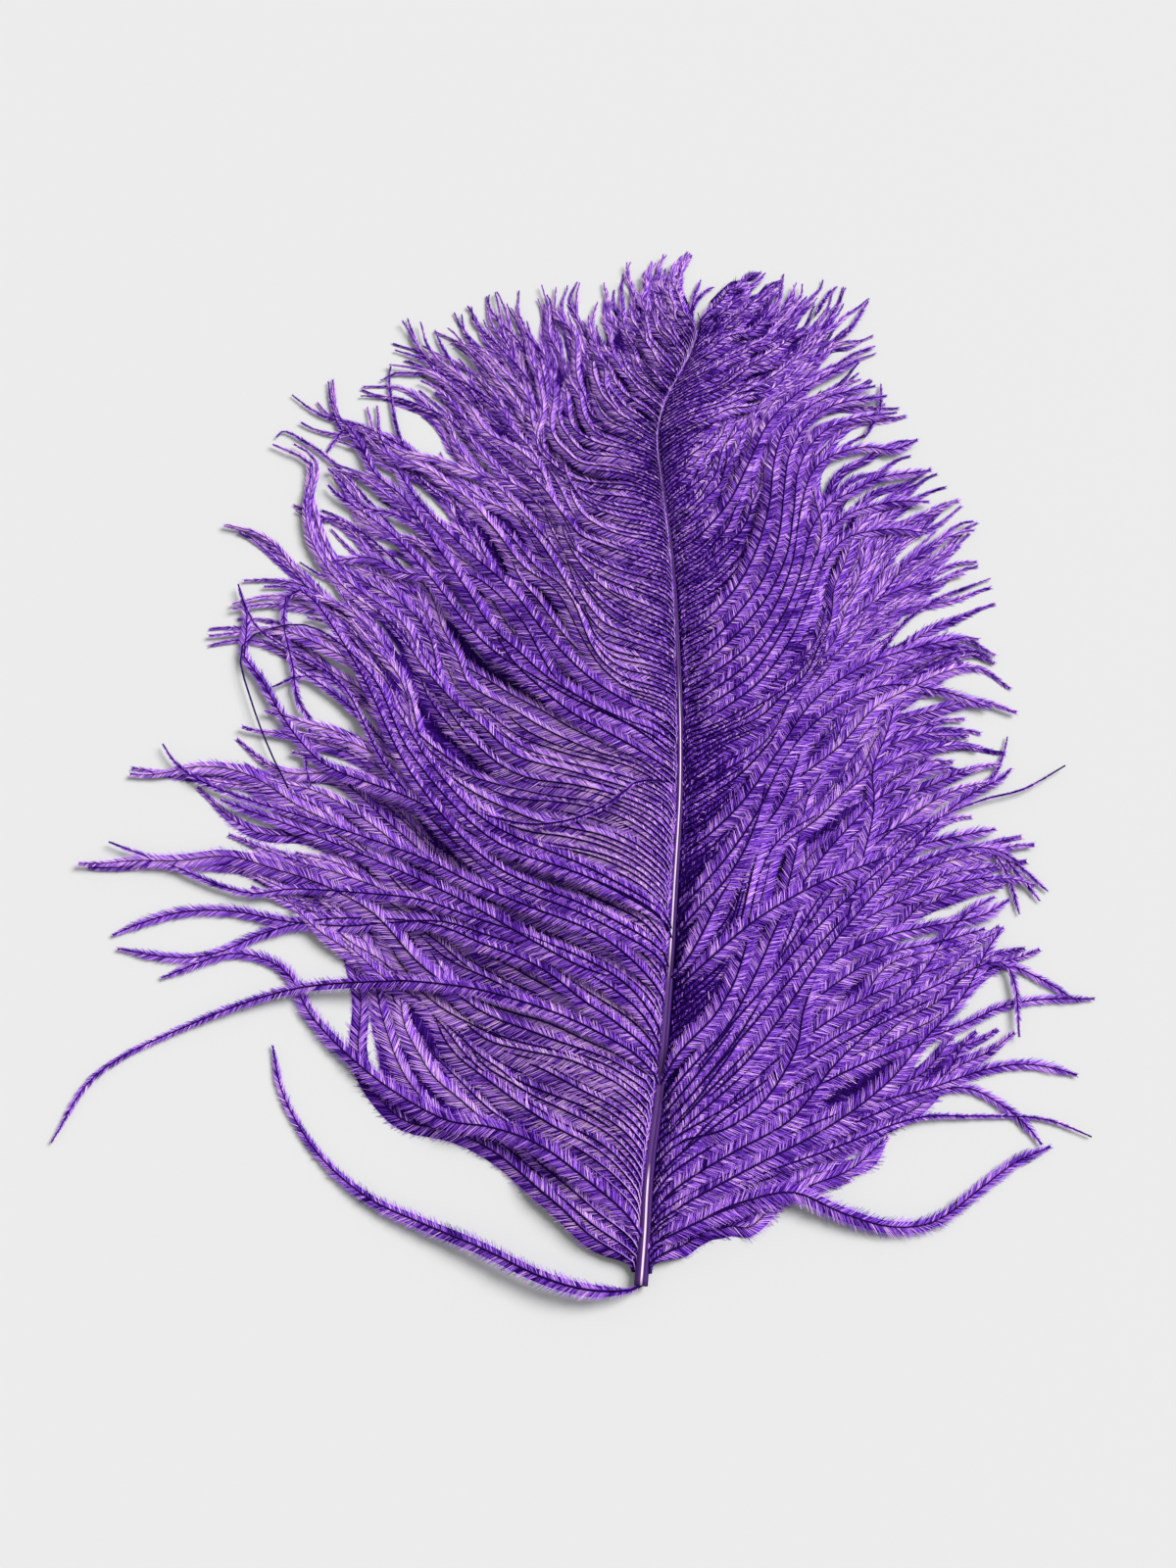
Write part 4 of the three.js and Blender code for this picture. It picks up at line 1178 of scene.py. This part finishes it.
def add_vane(side_name, locks, rng):
    rows, outer = vane_rows()
    part = plumeness(rows)
    routes, locks_of = vane_routes(side_name, locks, rows, rng)
    heights, lift = vane_heights(routes, rows, locks_of, len(locks), rng)
    rising = np.where(outer[:, None], smoothstep(*OUTER_RISE_ALONG, ALONG), 1.0)
    points = over_table(routes, heights * rising + UNDER_HEIGHT * (1 - rising))
    travelled = distances(routes)
    lengths = barbule_lengths(side_name, travelled, part) * (HIDDEN_LENGTH + (1 - HIDDEN_LENGTH) * rising)
    openness = barbule_openness(part)
    reaches = lengths * np.sin(openness) * WEB_SHARE
    droops = np.broadcast_to(BARBULE_DROOP * faded(DROOP_FADE, ALONG), travelled.shape)
    web_droops = np.broadcast_to(WEB_DROOP * faded(DROOP_FADE, ALONG), travelled.shape)
    widths = RAMUS_WIDTH * (1 - RAMUS_PLUME_LOSS * part)[:, None] * (1 - RAMUS_TAPER * ALONG)
    ramus_tones = RAMUS_TONE + RAMUS_TONE_SPREAD * rng.normal(size=(len(rows), 1))
    ramus_tones = np.broadcast_to(np.clip(ramus_tones, *RAMUS_TONE_LIMITS), travelled.shape)
    lit_steps = lit_facet_steps(side_name, travelled, part)
    tones = vane_tones(side_name, rows, travelled, rng)
    tones = tones + LAYER_SHADE * np.clip(lift / BARB_LIFT, *LAYER_LIMITS)
    web_tones = np.clip(tones - WEB_SHADE[side_name], *TONE_LIMITS)
    for number, group in enumerate(np.array_split(np.arange(len(rows)), VANE_PIECES), 1):
        blades = Blades()
        add_rami(blades, points[group], widths[group], ramus_tones[group], lit_steps[group])
        add_webs(blades, points[group], reaches[group], web_tones[group], web_droops[group])
        add_barbules(
            blades, points[group], lengths[group], tones[group], openness[group], droops[group],
            BARBULE_SPACING, rng)
        finish_barbs(f"{side_name}_barbs_{number}", blades, f"{side_name}_vane")


# ---- the barbs beneath ----

UNDER_FIRST = {"left": 1, "right": 6}  # how many of the lowest barbs have none under them
UNDER_PLACES = 200  # of which a lock's curve is made
UNDER_START = 60  # of them: nearer the shaft these barbs would lie hidden
UNDER_LENGTH = {"left": (0.5, 0.72), "right": (0.58, 0.82)}  # as a share of the lock's
UNDER_FOOT_LENGTH = 0.1  # what the lowest ones add to it
UNDER_FOOT_FADE = (1, 0.03, 0.12)  # its places are shares of the way up the plume
UNDER_BARBULES = 5.0 * MM
UNDER_GROWTH = (0.5, 0.0, 0.15)
UNDER_TIP_FADE = (0.93, 0.75, 1.0)
UNDER_PLUME_LOSS = 0.4  # the share of their length that the barbules lose up the plume
UNDER_WEB_SHARE = 0.6
UNDER_SPACING = 0.7 * MM
UNDER_OPENNESS = 0.7
UNDER_DROOP = 0.1
# The under barbs' dark tones are painted shade
UNDER_TONE = 0.07
UNDER_BARBULE_TONE = 0.19


def add_under_layer(side_name, locks, rng):
    """The deepest barbs, short and in the shade, that close the gaps between the others; their dark tones
    are painted shade.
    """
    rows = barb_rows()[UNDER_FIRST[side_name]:]
    part = plumeness(rows)
    routes, _, _ = between_locks(locks, lock_curves(locks, UNDER_PLACES), rows)
    reach = rng.uniform(*UNDER_LENGTH[side_name], len(rows))
    reach = reach + UNDER_FOOT_LENGTH * faded(UNDER_FOOT_FADE, part)
    ends = (reach * UNDER_PLACES).astype(int)
    routes = np.array([evenly(route[UNDER_START:end], STATIONS) for route, end in zip(routes, ends)])
    flat = np.ones((len(rows), STATIONS))
    points = over_table(routes, UNDER_HEIGHT * flat)
    lengths = UNDER_BARBULES * grown(UNDER_GROWTH, ALONG) * faded(UNDER_TIP_FADE, ALONG)
    lengths = lengths * (1 - UNDER_PLUME_LOSS * part)[:, None]
    blades = Blades()
    add_webs(blades, points, lengths * UNDER_WEB_SHARE, UNDER_TONE * flat, UNDER_DROOP * flat)
    add_barbules(
        blades, points, lengths, UNDER_BARBULE_TONE * flat, UNDER_OPENNESS * flat, UNDER_DROOP * flat,
        UNDER_SPACING, rng)
    finish_barbs(f"{side_name}_under_barbs", blades, f"{side_name}_vane")


# ---- loose barbs and tips ----

LOOSE_RAMUS_TONE = 0.1
# The painted highlight on the lit facet of loose barbs and twigs, in tone
LOOSE_LIT_STEP = 0.3
LOOSE_WEB_SHARE = 0.6
# Painted shade of the loose barbs' webs
LOOSE_WEB_SHADE = WEB_SHADE["right"]
LOOSE_WEB_DROOP = 2  # times the barbules' own
LOOSE_SPACING = 0.2 * MM  # between barbules
LOOSE_WIDTHS = (1.1, 0.6)  # of the ramus at root and tip, as a share of RAMUS_WIDTH
LOOSE_TONE = 0.52
LOOSE_PATCH_TONE = 0.09
LOOSE_PATCHES = 5.0
LOOSE_OPENNESS = 0.85
LOOSE_CLOSING = 0.35
LOOSE_CLOSING_ALONG = (0.4, 0.95)
LOOSE_DROOP = 0.6  # of BARBULE_DROOP
LOOSE_FALL_ALONG = (0.15, 0.85)
THINNING_ALONG = (0.4, 0.8)
LOOSE_GROWTH = (0.25, 0.0, 14 * MM)  # its places are distances along the barb
LOOSE_TIP_FADE = (0.7, 0.92, 1.0)
# How high a barb lies over the crest, and its tip over the table: loose barbs, then strays
LOOSE_LIFT = 1.4 * MM
LOOSE_TIP_HEIGHT = 1.0 * MM
STRAY_LIFT = 2.0 * MM
STRAY_TIP_HEIGHT = 2.0 * MM

TWIG_HEIGHTS = (1.8 * MM, 0.9 * MM)  # at root and tip
TWIG_OUT_ALONG = (0.0, 0.25)  # where it grows from nothing
TWIG_WIDTHS = (0.9, 0.3)  # of the ramus at root and tip, as a share of RAMUS_WIDTH
TWIG_FULLNESS = 0.36  # how long its barbules are, as a share of the full length
TWIG_TIP_FADE = (0.6, 0.8, 1.0)
TWIG_OPENNESS = (0.7, 0.5)
TWIG_TONE = 0.5
TWIG_PATCH_TONE = 0.1
TWIG_PATCHES = 4.0
TWIG_DROOP = 0.3  # of BARBULE_DROOP


def between(ends):
    """A value at each station of a barb, from the one at its root to the one at its tip."""
    start, end = ends
    return (start + (end - start) * ALONG)[None]


def add_single_barb(blades, points, widths, lengths, openness, tones, droops, spacing, rng):
    add_rami(blades, points, widths, np.full(tones.shape, LOOSE_RAMUS_TONE), LOOSE_LIT_STEP)
    reaches = lengths * np.sin(openness) * LOOSE_WEB_SHARE
    add_webs(blades, points, reaches, tones - LOOSE_WEB_SHADE, droops * LOOSE_WEB_DROOP)
    add_barbules(blades, points, lengths, tones, openness, droops, spacing, rng)


def add_loose_barb(blades, lift, tip_height, fullness, tip_fullness, route, rng):
    """A barb that lies on top of its vane, or leaves it."""
    route = smooth_route(route, STATIONS)[None]
    row = route[0, 0, 1]
    travelled = distances(route)
    heights = climbed(shaft_height(row), crest_height(row) + lift, travelled)
    fall = smoothstep(*LOOSE_FALL_ALONG, ALONG)
    points = over_table(route, heights * (1 - fall) + tip_height * fall)
    lengths = fullness + (tip_fullness - fullness) * smoothstep(*THINNING_ALONG, ALONG)
    lengths = BARBULE_LENGTH * lengths * grown(LOOSE_GROWTH, travelled) * faded(LOOSE_TIP_FADE, ALONG)
    openness = (LOOSE_OPENNESS - LOOSE_CLOSING * smoothstep(*LOOSE_CLOSING_ALONG, ALONG))[None]
    tones = LOOSE_TONE + LOOSE_PATCH_TONE * smooth_noise(rng, 1, ALONG, LOOSE_PATCHES)
    droops = (BARBULE_DROOP * LOOSE_DROOP * faded(DROOP_FADE, ALONG))[None]
    widths = RAMUS_WIDTH * between(LOOSE_WIDTHS)
    add_single_barb(blades, points, widths, lengths, openness, tones, droops, LOOSE_SPACING, rng)


def add_twig(blades, route, rng):
    """The thin tip of a barb whose other part lies hidden in the vane."""
    route = smooth_route(route, STATIONS)[None]
    points = over_table(route, between(TWIG_HEIGHTS))
    out = smoothstep(*TWIG_OUT_ALONG, ALONG)
    lengths = BARBULE_LENGTH * TWIG_FULLNESS * out * faded(TWIG_TIP_FADE, ALONG)
    tones = TWIG_TONE + TWIG_PATCH_TONE * smooth_noise(rng, 1, ALONG, TWIG_PATCHES)
    droops = np.full(tones.shape, BARBULE_DROOP * TWIG_DROOP)
    widths = RAMUS_WIDTH * out * between(TWIG_WIDTHS)
    add_single_barb(
        blades, points, widths, lengths[None], between(TWIG_OPENNESS), tones, droops, BARBULE_SPACING, rng)


def add_stray_barbs(side_name, rng):
    blades = Blades()
    for stray in STRAY_BARBS[side_name]:
        add_loose_barb(blades, STRAY_LIFT, STRAY_TIP_HEIGHT, *stray, rng)
    for twig in TWIGS[side_name]:
        add_twig(blades, twig, rng)
    finish_barbs(f"{side_name}_stray_barbs", blades, f"{side_name}_vane")


def add_loose_barbs(rng):
    for node, barb in LOOSE_BARBS.items():
        blades = Blades()
        add_loose_barb(blades, LOOSE_LIFT, LOOSE_TIP_HEIGHT, *barb, rng)
        finish_barbs(f"{node}_fibres", blades, node)


# ---- the shaft ----

SHAFT_STATIONS = 180
SHAFT_SIDES = 28
SHAFT_HEIGHT_TO_WIDTH = 0.85
GROOVE_PLACE = 0.5  # of the way round the shaft, from below
GROOVE_HALF = 0.085  # of the way round
GROOVE_DEPTH = 0.16  # of its height


def add_shaft():
    """The shaft, grooved along its top. The map runs along it and, from below, once round it."""
    route = smooth_route(SHAFT_ROUTE, SHAFT_STATIONS)
    points = over_table(route, shaft_height(route[:, 1]))[None]
    _, beside, over = (direction[0] for direction in barb_frames(points))
    half = shaft_width(route[:, 1])[:, None, None] / 2
    around = np.linspace(0, 1, SHAFT_SIDES + 1)
    groove = np.clip(1 - ((around - GROOVE_PLACE) / GROOVE_HALF) ** 2, 0, 1) * GROOVE_DEPTH * 2
    across = np.sin(2 * math.pi * around)[None, :, None]
    above = (-np.cos(2 * math.pi * around) - groove)[None, :, None] * SHAFT_HEIGHT_TO_WIDTH
    vertices = points[0][:, None] - half * (across * beside[:, None] - above * over[:, None])
    index = np.arange(SHAFT_STATIONS * len(around)).reshape(SHAFT_STATIONS, len(around))
    corners = (index[:-1, :-1], index[:-1, 1:], index[1:, 1:], index[1:, :-1])
    sides = np.stack(corners, axis=-1).reshape(-1, 4)
    foot = index[0, -2::-1][None]
    tip = index[-1, :-1][None]
    u = np.broadcast_to(np.linspace(0, 1, SHAFT_STATIONS)[:, None], index.shape)
    maps = np.stack((u, np.broadcast_to(around, index.shape)), axis=-1)
    blades = Blades()
    blades.add(vertices, maps, [sides, foot, tip], 0)
    piece = link("grooved_shaft", blades.mesh("grooved_shaft"), (shaft_material(),))
    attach(piece, "root")
    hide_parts("shaft")


# ---- floor, light ----

FLOOR_HALF = 6.0
KEY_FROM = (0.75, 0.40, 0.85)  # the direction that the light comes from
KEY_STRENGTH = 4.1
KEY_SPREAD = math.radians(34)  # how wide the light is, seen from the plume
WORLD_STRENGTH = 0.42


def add_floor():
    corners = [(x * FLOOR_HALF, y * FLOOR_HALF, 0) for x, y in ((-1, -1), (1, -1), (1, 1), (-1, 1))]
    mesh = bpy.data.meshes.new("floor")
    mesh.from_pydata(corners, [], [(0, 1, 2, 3)])
    material, shader = new_material("floor", roughness=0.9, specular=0.1)
    shader.inputs["Base Color"].default_value = linear(*FLOOR_COLOUR)
    link("floor", mesh, (material,))


def add_lights():
    data = bpy.data.lights.new("key", "SUN")
    data.energy = KEY_STRENGTH
    data.angle = KEY_SPREAD
    key = bpy.data.objects.new("key", data)
    key.rotation_euler = Vector(KEY_FROM).to_track_quat("Z", "Y").to_euler()
    bpy.context.scene.collection.objects.link(key)
    world = bpy.data.worlds.new("world")
    bpy.context.scene.world = world
    world.use_nodes = True
    background = world.node_tree.nodes["Background"]
    background.inputs["Color"].default_value = grey(1.0)
    background.inputs["Strength"].default_value = WORLD_STRENGTH


# One generator serves all barbs, so their order decides how each one turns out.
rng = np.random.default_rng(SEED)
for side_name, locks in LOCKS.items():
    add_vane(side_name, locks, rng)
for side_name, locks in LOCKS.items():
    add_under_layer(side_name, locks, rng)
for side_name in LOCKS:
    add_stray_barbs(side_name, rng)
add_loose_barbs(rng)
add_shaft()

add_camera()
add_floor()
add_lights()
bpy.context.scene.view_settings.view_transform = "Standard"
